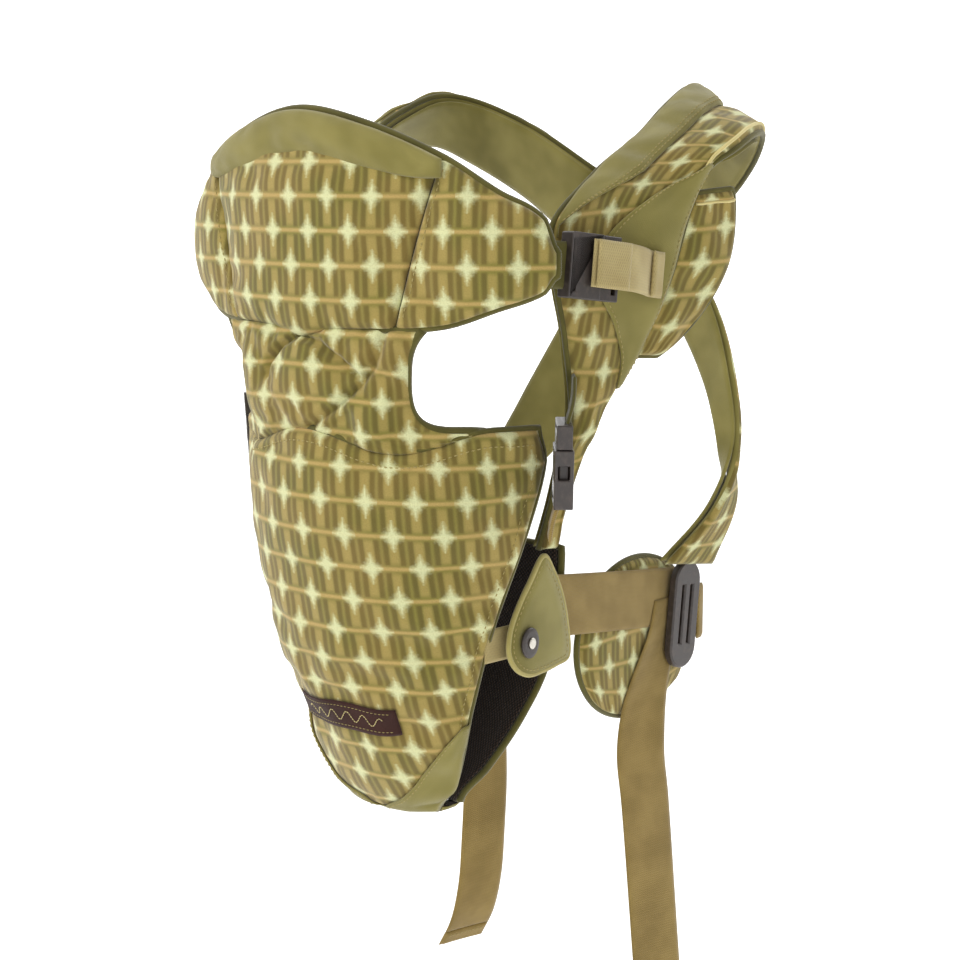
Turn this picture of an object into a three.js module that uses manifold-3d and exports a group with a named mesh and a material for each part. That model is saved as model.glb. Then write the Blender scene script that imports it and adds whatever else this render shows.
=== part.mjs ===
import * as THREE from 'three';
import { mergeVertices } from 'three/addons/utils/BufferGeometryUtils.js';
import Module from 'manifold-3d';

const wasm = await Module();
wasm.setup();

// Soft baby carrier, worn upright. Millimetres.
// Design space: X to the wearer's left (the near side), Y from the baby's panel to the wearer's back,
// Z up from the bottom of the pouch. The finished group is moved so that the origin is midway
// between the two shoulder straps, where they rest on the wearer's shoulders.
const SHOULDER_REST = { y: 235, z: 430 };

// Sheet goods
const PAD = 8;                 // padded panel
const STRAP_PAD = 9;           // padded strap
const CLOTH = 1.2;             // lining and facing cloth
const GAP = 0.5;               // between flat pieces that are sewn face to face
const SEAM = 1.3;              // the same between curved pieces
const WEBBING = 1.8;           // webbing thickness
const WAIST_WEB = 38;          // waist webbing width

// Baby panel: section radius and centre line, by height
const PANEL_Z = [0, 27, 52, 79, 129, 184, 243, 277, 302, 430];
const PANEL_R = [52, 58, 74, 80, 87, 94, 102, 118, 190, 190];
const PANEL_Y = [70, 56, 44, 33, 19, 9, 3, 2, 2, 2];
const POUCH_Z = [8, 27, 52, 79, 129, 184, 225, 246];
const POUCH_HALF = [34, 50, 64, 76, 98, 126, 142, 138];

// Headrest: half width to the wing tip, and to the seams at top and bottom
const HEADREST = { tip: 150, seamTop: 88, seamBottom: 61 };

// Side harness
const TAB_X = 88;
const SLIDER = { length: 58, width: 26, thick: 6, y: 249, z: 106 };
const SNAP_R = 8;

const group = new THREE.Group();
group.position.set(0, -SHOULDER_REST.y, -SHOULDER_REST.z);

const cloth = (color, roughness = 0.9) => new THREE.MeshStandardMaterial({ color, roughness, metalness: 0 });
const print = cloth(0x96803c);
const plain = cloth(0x8a8240);
const dark = cloth(0x2b2016);
const brown = cloth(0x2d1610);
const webbing = cloth(0x89753e);
const beige = cloth(0xa59664);
const plastic = cloth(0x3c3430, 0.45);
const metal = new THREE.MeshStandardMaterial({ color: 0xb8b4aa, roughness: 0.3, metalness: 0.9 });

function add(name, geometry, material) {
  const mesh = new THREE.Mesh(geometry, material);
  mesh.name = name;
  group.add(mesh);
}

// ---------- numbers and curves ----------

function along(xs, ys, x) {
  if (x <= xs[0]) return ys[0];
  const last = xs.length - 1;
  if (x >= xs[last]) return ys[last];
  let i = 0;
  while (x > xs[i + 1]) i += 1;
  const t = (x - xs[i]) / (xs[i + 1] - xs[i]);
  const slope = (k) => {
    if (k === 0 || k === last) return 0;
    return (ys[k + 1] - ys[k - 1]) / (xs[k + 1] - xs[k - 1]);
  };
  const h = xs[i + 1] - xs[i];
  const a = t * t * (3 - 2 * t);
  const curl = t * (1 - t) * (1 - t) * slope(i) - t * t * (1 - t) * slope(i + 1);
  return ys[i] * (1 - a) + ys[i + 1] * a + curl * h;
}

const mix = (a, b, t) => a + (b - a) * t;

// ---------- solids ----------

// A closed solid between two grids of points, the outer and the inner face.
function closed(outer, inner) {
  const nu = outer.length - 1;
  const nv = outer[0].length - 1;
  const points = [];
  for (const side of [outer, inner]) {
    for (const row of side) {
      for (const p of row) points.push(p.x, p.y, p.z);
    }
  }
  const stride = nv + 1;
  const half = (nu + 1) * stride;
  const at = (side, i, j) => side * half + i * stride + j;
  const index = [];
  const quad = (a, b, c, d) => index.push(a, b, c, a, c, d);
  for (let i = 0; i < nu; i += 1) {
    for (let j = 0; j < nv; j += 1) {
      quad(at(0, i, j), at(0, i + 1, j), at(0, i + 1, j + 1), at(0, i, j + 1));
      quad(at(1, i, j), at(1, i, j + 1), at(1, i + 1, j + 1), at(1, i + 1, j));
    }
    quad(at(0, i, 0), at(1, i, 0), at(1, i + 1, 0), at(0, i + 1, 0));
    quad(at(0, i, nv), at(0, i + 1, nv), at(1, i + 1, nv), at(1, i, nv));
  }
  for (let j = 0; j < nv; j += 1) {
    quad(at(0, 0, j), at(0, 0, j + 1), at(1, 0, j + 1), at(1, 0, j));
    quad(at(0, nu, j), at(1, nu, j), at(1, nu, j + 1), at(0, nu, j + 1));
  }
  const geometry = new THREE.BufferGeometry();
  geometry.setAttribute('position', new THREE.Float32BufferAttribute(points, 3));
  geometry.setIndex(index);
  return outward(geometry);
}

function outward(geometry) {
  const p = geometry.attributes.position;
  const index = geometry.index;
  const [a, b, c] = [new THREE.Vector3(), new THREE.Vector3(), new THREE.Vector3()];
  let volume = 0;
  for (let i = 0; i < index.count; i += 3) {
    a.fromBufferAttribute(p, index.getX(i));
    b.fromBufferAttribute(p, index.getX(i + 1));
    c.fromBufferAttribute(p, index.getX(i + 2));
    volume += a.dot(b.cross(c));
  }
  if (volume < 0) {
    for (let i = 0; i < index.count; i += 3) {
      const second = index.getX(i + 1);
      index.setX(i + 1, index.getX(i + 2));
      index.setX(i + 2, second);
    }
  }
  return geometry;
}

// A padded or plain sheet on surface(a, b), a and b from 0 to 1, from `lift` to `lift + thick`
// above it on the side that `face` points to.
function sheet(surface, { nu, nv, lift = 0, thick, face = 1 }) {
  const outer = [];
  const inner = [];
  const step = 1e-3;
  for (let i = 0; i <= nu; i += 1) {
    outer.push([]);
    inner.push([]);
    for (let j = 0; j <= nv; j += 1) {
      const a = i / nu;
      const b = j / nv;
      const p = surface(a, b);
      const da = surface(Math.min(a + step, 1), b).sub(surface(Math.max(a - step, 0), b));
      const db = surface(a, Math.min(b + step, 1)).sub(surface(a, Math.max(b - step, 0)));
      const normal = da.cross(db).normalize().multiplyScalar(face);
      outer[i].push(p.clone().addScaledVector(normal, lift + thick));
      inner[i].push(p.clone().addScaledVector(normal, lift));
    }
  }
  return closed(outer, inner);
}

// An outline in the YZ plane, extruded along X from x to x + thick
function plateX(points, x, thick, holes = []) {
  const outline = points.map(([y, z]) => new THREE.Vector2(y, z));
  if (THREE.ShapeUtils.isClockWise(outline)) outline.reverse();
  const shape = new THREE.Shape(outline);
  for (const { y, z, r } of holes) {
    const round = Array.from({ length: 16 }, (_, i) => {
      const turn = -2 * Math.PI * i / 16;
      return new THREE.Vector2(y + r * Math.cos(turn), z + r * Math.sin(turn));
    });
    shape.holes.push(new THREE.Path(round));
  }
  const geometry = new THREE.ExtrudeGeometry(shape, { depth: thick, bevelEnabled: false, curveSegments: 10 });
  const turn = new THREE.Matrix4().makeBasis(
    new THREE.Vector3(0, 1, 0),
    new THREE.Vector3(0, 0, 1),
    new THREE.Vector3(1, 0, 0),
  );
  geometry.applyMatrix4(turn);
  geometry.translate(x, 0, 0);
  return geometry;
}

function mirrored(geometry) {
  const g = geometry.clone();
  g.applyMatrix4(new THREE.Matrix4().makeScale(-1, 1, 1));
  if (!g.index) {
    const merged = welded(g);
    return outward(merged);
  }
  return outward(g);
}

function welded(geometry) {
  const g = geometry.clone();
  g.deleteAttribute('normal');
  g.deleteAttribute('uv');
  return mergeVertices(g, 1e-4);
}

// Both sides of the carrier: the near one as built, the far one mirrored
function addPair(name, geometry, material) {
  const solid = outward(welded(geometry));
  add(`${name}_left`, solid, material);
  add(`${name}_right`, mirrored(solid), material);
}

function toManifold(geometry) {
  const g = welded(geometry);
  return new wasm.Manifold(new wasm.Mesh({
    numProp: 3,
    vertProperties: Float32Array.from(g.attributes.position.array),
    triVerts: Uint32Array.from(g.index.array),
  }));
}

function fromManifold(solid) {
  const mesh = solid.getMesh();
  const geometry = new THREE.BufferGeometry();
  geometry.setAttribute('position', new THREE.Float32BufferAttribute(mesh.vertProperties, 3));
  geometry.setIndex(Array.from(mesh.triVerts));
  return geometry;
}

const block = (w, l, t, x = 0, y = 0, z = 0) => new THREE.BoxGeometry(w, l, t).translate(x, y, z);

function cut(base, ...tools) {
  let solid = toManifold(base);
  for (const tool of tools) solid = solid.subtract(toManifold(tool));
  return fromManifold(solid);
}

function join(base, ...others) {
  let solid = toManifold(base);
  for (const other of others) solid = solid.add(toManifold(other));
  return fromManifold(solid);
}

// Places a piece drawn with x across, y along and z through it
function place(geometry, { at, across, length }) {
  const x = new THREE.Vector3(...across).normalize();
  const y = new THREE.Vector3(...length).normalize();
  const z = new THREE.Vector3().crossVectors(x, y).normalize();
  x.crossVectors(y, z);
  const m = new THREE.Matrix4().makeBasis(x, y, z).setPosition(...at);
  return geometry.clone().applyMatrix4(m);
}

// ---------- the baby panel ----------

function panelPoint(u, z) {
  const r = along(PANEL_Z, PANEL_R, z);
  const phi = u / r;
  return new THREE.Vector3(r * Math.sin(phi), along(PANEL_Z, PANEL_Y, z) + r * (1 - Math.cos(phi)), z);
}

function pouchTop(share) {
  return 246 - 12 * Math.sin(Math.PI * Math.min(Math.abs(share) / 0.8, 1)) ** 2;
}

function pouchPoint(a, b) {
  const share = 2 * a - 1;
  const level = mix(POUCH_Z[0], POUCH_Z.at(-1), b);
  const z = mix(POUCH_Z[0], pouchTop(share), b);
  return panelPoint(share * along(POUCH_Z, POUCH_HALF, level), z);
}

add('pouch_front_panel', sheet(pouchPoint, { nu: 18, nv: 10, thick: PAD }), print);
add('pouch_lining', sheet(pouchPoint, { nu: 18, nv: 8, lift: -SEAM - CLOTH, thick: CLOTH }), dark);

const facingPoint = (a, b) => {
  const level = mix(10, 62, b);
  const half = along(POUCH_Z, POUCH_HALF, level);
  return panelPoint(mix(half - 24 * (1 - b) - 2, half - 1, a), level);
};
addPair('leg_facing', sheet(facingPoint, { nu: 4, nv: 6, lift: PAD + 1.2, thick: CLOTH }), plain);

const labelPoint = (a, b) => panelPoint(mix(-35, 35, a), mix(67, 83, b));
add('label', sheet(labelPoint, { nu: 8, nv: 1, lift: PAD + GAP, thick: 1 }), brown);

const quiltPoint = (a, b) => {
  const z = mix(251, 296, b);
  const half = 64 + 14 * (2 * b - 1) ** 4;
  return panelPoint((2 * a - 1) * half, z);
};
add('waist_quilt_panel', sheet(quiltPoint, { nu: 14, nv: 6, thick: PAD }), print);

// ---------- headrest ----------

const HEAD_U = [0, 45, 88, 118, 142, HEADREST.tip];
const HEAD_TOP = [424, 415, 397, 378, 364, 346];
const HEAD_LOW = [302, 303, 306, 316, 325, 334];

function headPoint(u, b) {
  const size = Math.abs(u);
  return panelPoint(u, mix(along(HEAD_U, HEAD_LOW, size), along(HEAD_U, HEAD_TOP, size), b));
}

// The seam leans outwards from bottom to top, at share b of the height
const seam = (b) => mix(HEADREST.seamBottom, HEADREST.seamTop, b);
const middlePoint = (a, b) => headPoint((2 * a - 1) * (seam(b) - 0.4), b);
const wingPoint = (a, b) => headPoint(mix(seam(b) + 0.4, HEADREST.tip, a), b);
add('headrest_panel', sheet(middlePoint, { nu: 14, nv: 8, thick: PAD }), print);
addPair('headrest_wing', sheet(wingPoint, { nu: 8, nv: 8, thick: PAD }), print);
const liningPoint = (a, b) => headPoint((2 * a - 1) * (HEADREST.tip - 3), mix(0.02, 0.98, b));
add('headrest_lining', sheet(liningPoint, { nu: 14, nv: 4, lift: -SEAM - CLOTH, thick: CLOTH }), dark);

const collarPoint = (a, b) => {
  const u = (2 * a - 1) * 86;
  const top = along(HEAD_U, HEAD_TOP, Math.abs(u)) - 1;
  const depth = 4 + 22 * (1 - (2 * a - 1) ** 4);
  return panelPoint(u, mix(top - depth, top, b));
};
add('collar_roll', sheet(collarPoint, { nu: 16, nv: 4, lift: PAD + 1, thick: 6 }), plain);

// ---------- the wearer's side of the pouch ----------

const SEAT_Z = [12, 34, 61, 94, 165];
const SEAT_Y = [84, 97, 117, 134, 136];
const SEAT_HALF = [42, 54, 63, 70, 80];
const seatPoint = (a, b) => {
  const z = mix(12, 165, b);
  const x = (2 * a - 1) * along(SEAT_Z, SEAT_HALF, z);
  return new THREE.Vector3(x, along(SEAT_Z, SEAT_Y, z) - (x / 40) ** 2, z);
};
add('seat_panel', sheet(seatPoint, { nu: 10, nv: 8, thick: 5, face: -1 }), plain);
add('seat_lining', sheet(seatPoint, { nu: 10, nv: 8, lift: SEAM, thick: CLOTH }), dark);

const gussetPoint = (a, b) => {
  const x = (2 * a - 1) * 26;
  return new THREE.Vector3(x, mix(panelPoint(x, 8).y + 3, 82, b), 6 - 3 * (1 - (2 * a - 1) ** 2));
};
add('crotch_gusset', sheet(gussetPoint, { nu: 10, nv: 3, thick: 3, face: -1 }), plain);

// ---------- side tabs and snaps ----------

const TAB_EDGE = 129;
const TAB = [[104, 164], [112, 156], [TAB_EDGE - 2, 128], [TAB_EDGE, 101], [108, 97], [86, 98], [76, 106],
  [73, 116], [75, 126], [81, 137], [92, 151]];
const SNAP = { y: 88, z: 117 };
addPair('side_tab', plateX(TAB, TAB_X, 2.4, [{ ...SNAP, r: 3 }]), plain);

const disc = (r, x0, x1) => new THREE.CylinderGeometry(r, r, x1 - x0, 20)
  .rotateZ(Math.PI / 2)
  .translate((x0 + x1) / 2, SNAP.y, SNAP.z);
const cap = new THREE.LatheGeometry([[0, 0], [SNAP_R, 0], [SNAP_R, 1.2], [5.5, 2.8], [0, 3.2]]
  .map(([r, h]) => new THREE.Vector2(r, h)), 20).rotateZ(-Math.PI / 2).translate(TAB_X + 2.9, SNAP.y, SNAP.z);
addPair('snap_cap', join(cap, disc(2.4, TAB_X - 0.9, TAB_X + 3.2)), plastic);
addPair('snap_stud', disc(6, TAB_X - 3.4, TAB_X - 1.4), metal);
const anchorPoint = (a, b) => new THREE.Vector3(TAB_X - 4 - 3 * (1 - a), mix(68, 100, a), mix(107, 127, b));
addPair('anchor_webbing', sheet(anchorPoint, { nu: 3, nv: 1, lift: -WEBBING, thick: WEBBING }), beige);

// ---------- waist webbing, sliders and hip pads ----------

const FALL = 14 / 118;         // how far the waist webbing drops per mm towards the back
const waistPoint = (a, b) => {
  const y = mix(TAB_EDGE + 1.5, 262, a);
  const z = 131 - (y - 131) * FALL + (b - 0.5) * WAIST_WEB;
  return new THREE.Vector3(83, y, z);
};
addPair('waist_webbing', sheet(waistPoint, { nu: 8, nv: 1, thick: WEBBING }), webbing);

const SLIDE_DIRECTION = [0, 1, -FALL];
const sliderFrame = { at: [TAB_X + 3, SLIDER.y, SLIDER.z], across: [0, FALL, 1], length: SLIDE_DIRECTION };
const sliderOutline = () => {
  const w = SLIDER.length / 2;
  const l = SLIDER.width / 2;
  const shape = new THREE.Shape();
  shape.moveTo(-w + 8, -l);
  shape.lineTo(w - 8, -l);
  shape.absarc(w - 8, 0, l, -Math.PI / 2, Math.PI / 2, false);
  shape.lineTo(-w + 8, l);
  shape.absarc(-w + 8, 0, l, Math.PI / 2, 1.5 * Math.PI, false);
  for (const y of [-4.6, 4.6]) {
    const slot = new THREE.Path();
    slot.moveTo(-20, y - 2.4);
    slot.lineTo(-20, y + 2.4);
    slot.lineTo(20, y + 2.4);
    slot.lineTo(20, y - 2.4);
    slot.closePath();
    shape.holes.push(slot);
  }
  const options = {
    depth: SLIDER.thick - 2,
    bevelEnabled: true,
    bevelSize: 1,
    bevelThickness: 1,
    bevelSegments: 1,
    curveSegments: 8,
  };
  return new THREE.ExtrudeGeometry(shape, options).translate(0, 0, 1 - SLIDER.thick / 2);
};
addPair('waist_slider', place(sliderOutline(), sliderFrame), plastic);

const loopPoint = (a, b) => {
  const bend = Math.PI * a;
  const y = 265.5 + 9 * Math.sin(bend);
  const x = 89.5 - 2.6 * Math.cos(bend);
  return new THREE.Vector3(x, y, mix(88, 124, b) - 1.5);
};
addPair('slider_loop', sheet(loopPoint, { nu: 8, nv: 1, thick: WEBBING }), webbing);

const HIP = { x: 74, y: 216, z: 96, halfLength: 60, halfHeight: 52, thick: 7, points: 28 };
const hipRim = Array.from({ length: HIP.points }, (_, i) => {
  const turn = 2 * Math.PI * i / HIP.points;
  return [HIP.y + HIP.halfLength * Math.cos(turn), HIP.z + HIP.halfHeight * Math.sin(turn)];
});
addPair('hip_pad', plateX(hipRim, HIP.x, HIP.thick), print);

// The two waist tails hang from their sliders; each point is the middle of the webbing
const TAIL_LEFT = [[86.4, 243, 118], [86.3, 237, 100], [85.4, 226, 80], [86.8, 213, 54], [87, 210, 22], [87, 216, -10],
  [85, 224, -46], [84, 230, -84], [84, 234, -120], [85, 237, -156], [87, 239, -190]];
const TAIL_RIGHT = [[-86.4, 243, 118], [-86.3, 243, 102], [-85.6, 246, 82], [-86, 252, 56], [-87, 257, 26],
  [-84, 259, -8], [-81, 257, -44], [-80, 253, -82], [-81, 250, -114], [-87, 248, -142], [-98, 247, -164]];

function tailGeometry(route, lean, from, to, thick) {
  const curve = new THREE.CatmullRomCurve3(route.map((p) => new THREE.Vector3(...p)));
  const point = (a, b) => {
    const s = mix(from, to, a);
    const turn = lean * THREE.MathUtils.smoothstep(s, 0.15, 0.4);
    const across = new THREE.Vector3(Math.sin(turn), Math.cos(turn), 0);
    return curve.getPoint(s).addScaledVector(across, (b - 0.5) * WAIST_WEB);
  };
  return sheet(point, { nu: Math.max(2, Math.round(24 * (to - from))), nv: 1, lift: -thick / 2, thick });
}

for (const [side, route, lean] of [['left', TAIL_LEFT, 0.3], ['right', TAIL_RIGHT, 0.25]]) {
  add(`waist_tail_${side}`, tailGeometry(route, lean, 0, 0.95, WEBBING), webbing);
  add(`tail_hem_${side}`, tailGeometry(route, lean, 0.952, 1, 3.6), webbing);
}

// ---------- shoulder straps ----------

// Edge points from the foot of the strap, over the shoulder and down to the crossing.
// `neck` is the edge nearest the neck, `arm` the outer one.
const NECK_EDGE = [[90, 104, 168], [98, 108, 203], [112, 106, 243], [118, 92, 294], [121, 80, 325], [122, 74, 360],
  [117, 118, 393], [112, 166, 415], [109, 195, 431], [102, 230, 443], [88, 258, 438], [62, 279, 412],
  [32, 288, 386]];
const ARM_EDGE = [[93, 114, 168], [102, 118, 205], [118, 126, 250], [133, 142, 290], [144, 155, 328], [152, 163, 368],
  [160, 172, 394], [165, 190, 408], [163, 213, 416], [154, 238, 414], [134, 262, 397], [98, 284, 370],
  [64, 292, 348]];
const FAR_ARM_EDGE = [[-93, 114, 168], [-102, 118, 205], [-118, 126, 250], [-133, 142, 290], [-142, 152, 328],
  [-150, 160, 362], [-151, 166, 386], [-148, 210, 404], [-146, 238, 414], [-128, 262, 414], [-104, 280, 398],
  [-66, 290, 374], [-34, 293, 350]];

function strapSurface(neck, arm) {
  const inner = new THREE.CatmullRomCurve3(neck.map((p) => new THREE.Vector3(...p)));
  const outer = new THREE.CatmullRomCurve3(arm.map((p) => new THREE.Vector3(...p)));
  return (a, b) => inner.getPoint(a).lerp(outer.getPoint(a), b);
}

const flip = (points) => points.map(([x, y, z]) => [-x, y, z]);
const FAR_NECK_EDGE = [...flip(NECK_EDGE.slice(0, -2)), [-54, 277, 420], [-6, 287, 390]];
const SHOULDERS = {
  left: { surface: strapSurface(NECK_EDGE, ARM_EDGE), face: 1 },
  right: { surface: strapSurface(FAR_NECK_EDGE, FAR_ARM_EDGE), face: -1 },
};

// The plain inlay's near edge, as a share of the strap's width, at shares of the inlay's length
const INLAY_A = [0, 0.25, 0.45, 0.6, 0.8, 1];
const INLAY_NEAR = [0.84, 0.5, 0.28, 0.3, 0.6, 0.94];

// The edges lie on the outer face, and the padding goes inwards from it, towards the wearer
for (const [side, { surface, face }] of Object.entries(SHOULDERS)) {
  const pad = { nu: 28, nv: 3, thick: STRAP_PAD, face };
  add(`shoulder_pad_${side}`, sheet(surface, pad), print);
  const lining = { nu: 28, nv: 1, lift: STRAP_PAD + 3 * SEAM, thick: CLOTH, face };
  add(`shoulder_lining_${side}`, sheet(surface, lining), plain);
  // A long plain leaf over the front of the strap, up to its arm edge
  const inlayPoint = (a, b) => surface(mix(0.2, 0.5, a), mix(along(INLAY_A, INLAY_NEAR, a), 0.985, b));
  const inlay = { nu: 10, nv: 3, lift: -SEAM - CLOTH, thick: CLOTH, face };
  add(`shoulder_inlay_${side}`, sheet(inlayPoint, inlay), plain);
  // The rounded lobe that spreads the strap towards the shoulder blade
  const lobePoint = (a, b) => {
    const t = mix(0.235, 0.44, a);
    const edge = surface(t, 1);
    const across = edge.clone().sub(surface(t, 0.8)).normalize();
    const reach = 6 + 34 * Math.sin(Math.PI * mix(0.06, 0.86, a)) ** 0.7;
    return edge.addScaledVector(across, 1.5 + reach * b);
  };
  add(`shoulder_lobe_${side}`, sheet(lobePoint, { nu: 10, nv: 3, thick: 7, face }), print);
}

// ---------- back straps ----------

const CROSS = new THREE.Vector3(16, 296, 356);
// From the crossing down round the side of the back to the slider, as upper and lower edge points
const BACK_LEFT = {
  high: [[46, 299, 340], [80, 291, 308], [105, 278, 264], [113, 274, 215], [106, 258, 178], [90, 234, 148]],
  low: [[22, 301, 318], [52, 295, 292], [84, 284, 250], [98, 278, 215], [102, 286, 180], [93, 278, 144]],
};
const BACK_RIGHT = {
  high: [[-16, 299, 330], [-44, 291, 280], [-72, 284, 230], [-92, 279, 190], [-97, 280, 162], [-91, 282, 140]],
  low: [[8, 301, 316], [-8, 296, 262], [-34, 288, 210], [-62, 274, 178], [-80, 256, 164], [-87, 246, 154]],
};

for (const [side, edges, face] of [['left', BACK_LEFT, 1], ['right', BACK_RIGHT, -1]]) {
  const surface = strapSurface(edges.low, edges.high);
  add(`back_strap_${side}`, sheet(surface, { nu: 14, nv: 2, thick: 6, face: -face }), print);
  const lining = { nu: 14, nv: 1, lift: -3 * SEAM - CLOTH, thick: CLOTH, face: -face };
  add(`back_strap_lining_${side}`, sheet(surface, lining), plain);
}

const patch = new THREE.BoxGeometry(74, 7, 62).translate(CROSS.x, CROSS.y + 19, CROSS.z);
add('back_cross_patch', welded(patch), plain);

// ---------- buckles ----------

// Side-release buckle: x across, y along, socket below y = 0 and clip above it
function socket({ w, l, t }) {
  const wall = 3;
  const body = block(w, l, t, 0, -l / 2);
  const cavity = block(w - 2 * wall, l - 8, t - 4.4, 0, -(l - 8) / 2 + 0.5);
  const windows = [-1, 1].map((s) => block(wall + 2, 8, t - 4.4, s * (w / 2 - 1), -(l - 8) / 2));
  const slot = block(w - 8, 3, t + 2, 0, -l + 3.5);
  return cut(body, cavity, ...windows, slot);
}

function clip({ w, l, t }) {
  const prong = l - 11;
  const base = block(w, 14, t - 2, 0, 7.4);
  const slot = block(w - 8, 3, t, 0, 10.5);
  const prongs = [-1, 1].map((s) => block(3.4, prong, t - 5.4, s * (w / 2 - 5.6), 2 - prong / 2));
  const guide = block(3.4, prong - 5, t - 5.4, 0, 4.5 - prong / 2);
  return join(cut(base, slot), ...prongs, guide);
}

const SIDE = { at: [120, 84, 236], across: [0.643, -0.766, 0], length: [0.05, -0.04, 1] };
const SIDE_SIZE = { w: 28, l: 34, t: 11 };
addPair('side_buckle_socket', place(socket(SIDE_SIZE), SIDE), plastic);
addPair('side_buckle_clip', place(clip(SIDE_SIZE), SIDE), plastic);
const HEAD = { at: [142, 84, 337], across: [0, 0.12, 1], length: [0.16, 1, -0.12] };
const HEAD_SIZE = { w: 36, l: 24, t: 10 };
addPair('headrest_buckle_socket', place(socket(HEAD_SIZE), HEAD), plastic);
addPair('headrest_buckle_clip', place(clip(HEAD_SIZE), HEAD), plastic);

const headWeb = { ...HEAD, at: [149, 116, 333] };
addPair('headrest_buckle_webbing', place(block(26, 30, 2), headWeb), beige);
const sideWeb = { ...SIDE, at: [117.6, 81.5, 192] };
addPair('side_buckle_webbing', place(block(20, 14, 2), sideWeb), webbing);

export default group;
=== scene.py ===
import math

import bmesh
import bpy
import numpy as np
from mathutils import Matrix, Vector, noise


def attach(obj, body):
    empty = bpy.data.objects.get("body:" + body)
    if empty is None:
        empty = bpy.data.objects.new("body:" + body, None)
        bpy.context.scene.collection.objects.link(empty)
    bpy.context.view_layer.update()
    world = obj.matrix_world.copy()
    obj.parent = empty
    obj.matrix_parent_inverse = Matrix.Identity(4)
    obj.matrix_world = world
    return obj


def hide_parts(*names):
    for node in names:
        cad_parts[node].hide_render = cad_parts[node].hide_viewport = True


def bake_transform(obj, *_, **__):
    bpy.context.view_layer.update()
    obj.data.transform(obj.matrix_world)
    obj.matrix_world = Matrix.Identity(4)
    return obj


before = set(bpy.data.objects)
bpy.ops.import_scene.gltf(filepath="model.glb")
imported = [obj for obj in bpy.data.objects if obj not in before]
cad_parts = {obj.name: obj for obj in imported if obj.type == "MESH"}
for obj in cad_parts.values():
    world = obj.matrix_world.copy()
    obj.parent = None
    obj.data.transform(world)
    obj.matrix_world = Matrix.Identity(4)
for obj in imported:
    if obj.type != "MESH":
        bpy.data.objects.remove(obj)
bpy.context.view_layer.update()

# Soft baby carrier. Lengths below are in millimetres of the design space, whose X is the wearer's
# left, Y runs from the baby's panel to the wearer's back and Z is up from the pouch's bottom.
# to_frame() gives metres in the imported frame, whose origin is between the shoulder straps.
SHOULDER_REST = np.array([0.0, 235.0, 430.0])
MM = 0.001

PAD = 8.0                      # thickness of a padded panel
STRAP_PAD = 9.0                # thickness of a shoulder strap
WAIST_WEB = 38.0               # width of the waist webbing
WEBBING = 1.8                  # and its thickness
HEAD_TAPE = 26.0               # width of the headrest's webbing
SIDE_TAPE = 20.0               # width of the side buckles' webbing
TINY = 1e-9                    # keeps a length from dividing by nothing

# The baby panel: radius and distance of its cylinder, and the pouch's half width, by height
PANEL_Z = [0, 27, 52, 79, 129, 184, 243, 277, 302, 430]
PANEL_R = [52, 58, 74, 80, 87, 94, 102, 118, 190, 190]
PANEL_Y = [70, 56, 44, 33, 19, 9, 3, 2, 2, 2]
POUCH_Z = [8, 27, 52, 79, 129, 184, 225, 246]
POUCH_HALF = [34, 50, 64, 76, 98, 126, 142, 138]
# The seat panel's distance and half width, by height
SEAT_Z = [12, 34, 61, 94, 165]
SEAT_Y = [84, 97, 117, 134, 136]
SEAT_HALF = [42, 54, 63, 70, 80]
# The headrest's upper and lower edge, by distance round it
HEAD_U = [0, 45, 88, 118, 142, 150]
HEAD_TOP = [424, 415, 397, 378, 364, 346]
HEAD_LOW = [302, 303, 306, 316, 325, 334]

# Middle lines of the hanging tails, and the edges of the straps
TAIL_LEFT = [[86.4, 243, 118], [86.3, 237, 100], [85.4, 226, 80], [86.8, 213, 54], [87, 210, 22],
             [87, 216, -10], [85, 224, -46], [84, 230, -84], [84, 234, -120], [85, 237, -156],
             [87, 239, -190]]
TAIL_RIGHT = [[-86.4, 243, 118], [-86.3, 243, 102], [-85.6, 246, 82], [-86, 252, 56], [-87, 257, 26],
              [-84, 259, -8], [-81, 257, -44], [-80, 253, -82], [-81, 250, -114], [-87, 248, -142],
              [-98, 247, -164]]

NECK_EDGE = [[90, 104, 168], [98, 108, 203], [112, 106, 243], [118, 92, 294], [121, 80, 325],
             [122, 74, 360], [117, 118, 393], [112, 166, 415], [109, 195, 431], [102, 230, 443],
             [88, 258, 438], [62, 279, 412], [32, 288, 386]]
ARM_EDGE = [[93, 114, 168], [102, 118, 205], [118, 126, 250], [133, 142, 290], [144, 155, 328],
            [152, 163, 368], [160, 172, 394], [165, 190, 408], [163, 213, 416], [154, 238, 414],
            [134, 262, 397], [98, 284, 370], [64, 292, 348]]
FAR_ARM_EDGE = [[-93, 114, 168], [-102, 118, 205], [-118, 126, 250], [-133, 142, 290], [-142, 152, 328],
                [-150, 160, 362], [-151, 166, 386], [-148, 210, 404], [-146, 238, 414], [-128, 262, 414],
                [-104, 280, 398], [-66, 290, 374], [-34, 293, 350]]
BACK_LEFT = {
    "high": [[46, 299, 340], [80, 291, 308], [105, 278, 264], [113, 274, 215], [106, 258, 178],
             [89, 228, 143]],
    "low": [[22, 301, 318], [52, 295, 292], [84, 284, 250], [98, 278, 215], [102, 286, 180],
            [93, 276, 136]],
}
BACK_RIGHT = {
    "high": [[-16, 299, 330], [-44, 291, 280], [-72, 284, 230], [-92, 279, 190], [-97, 280, 162],
             [-91, 282, 140]],
    "low": [[8, 301, 316], [-8, 296, 262], [-34, 288, 210], [-62, 274, 178], [-80, 256, 164],
            [-87, 246, 154]],
}
FALL = 14 / 118                # how steeply the waist webbing falls towards the back
TAB_X = 88.0                   # distance of the side tabs from the middle
SNAP = (88.0, 117.0)           # the snap's middle, in Y and Z
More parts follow.
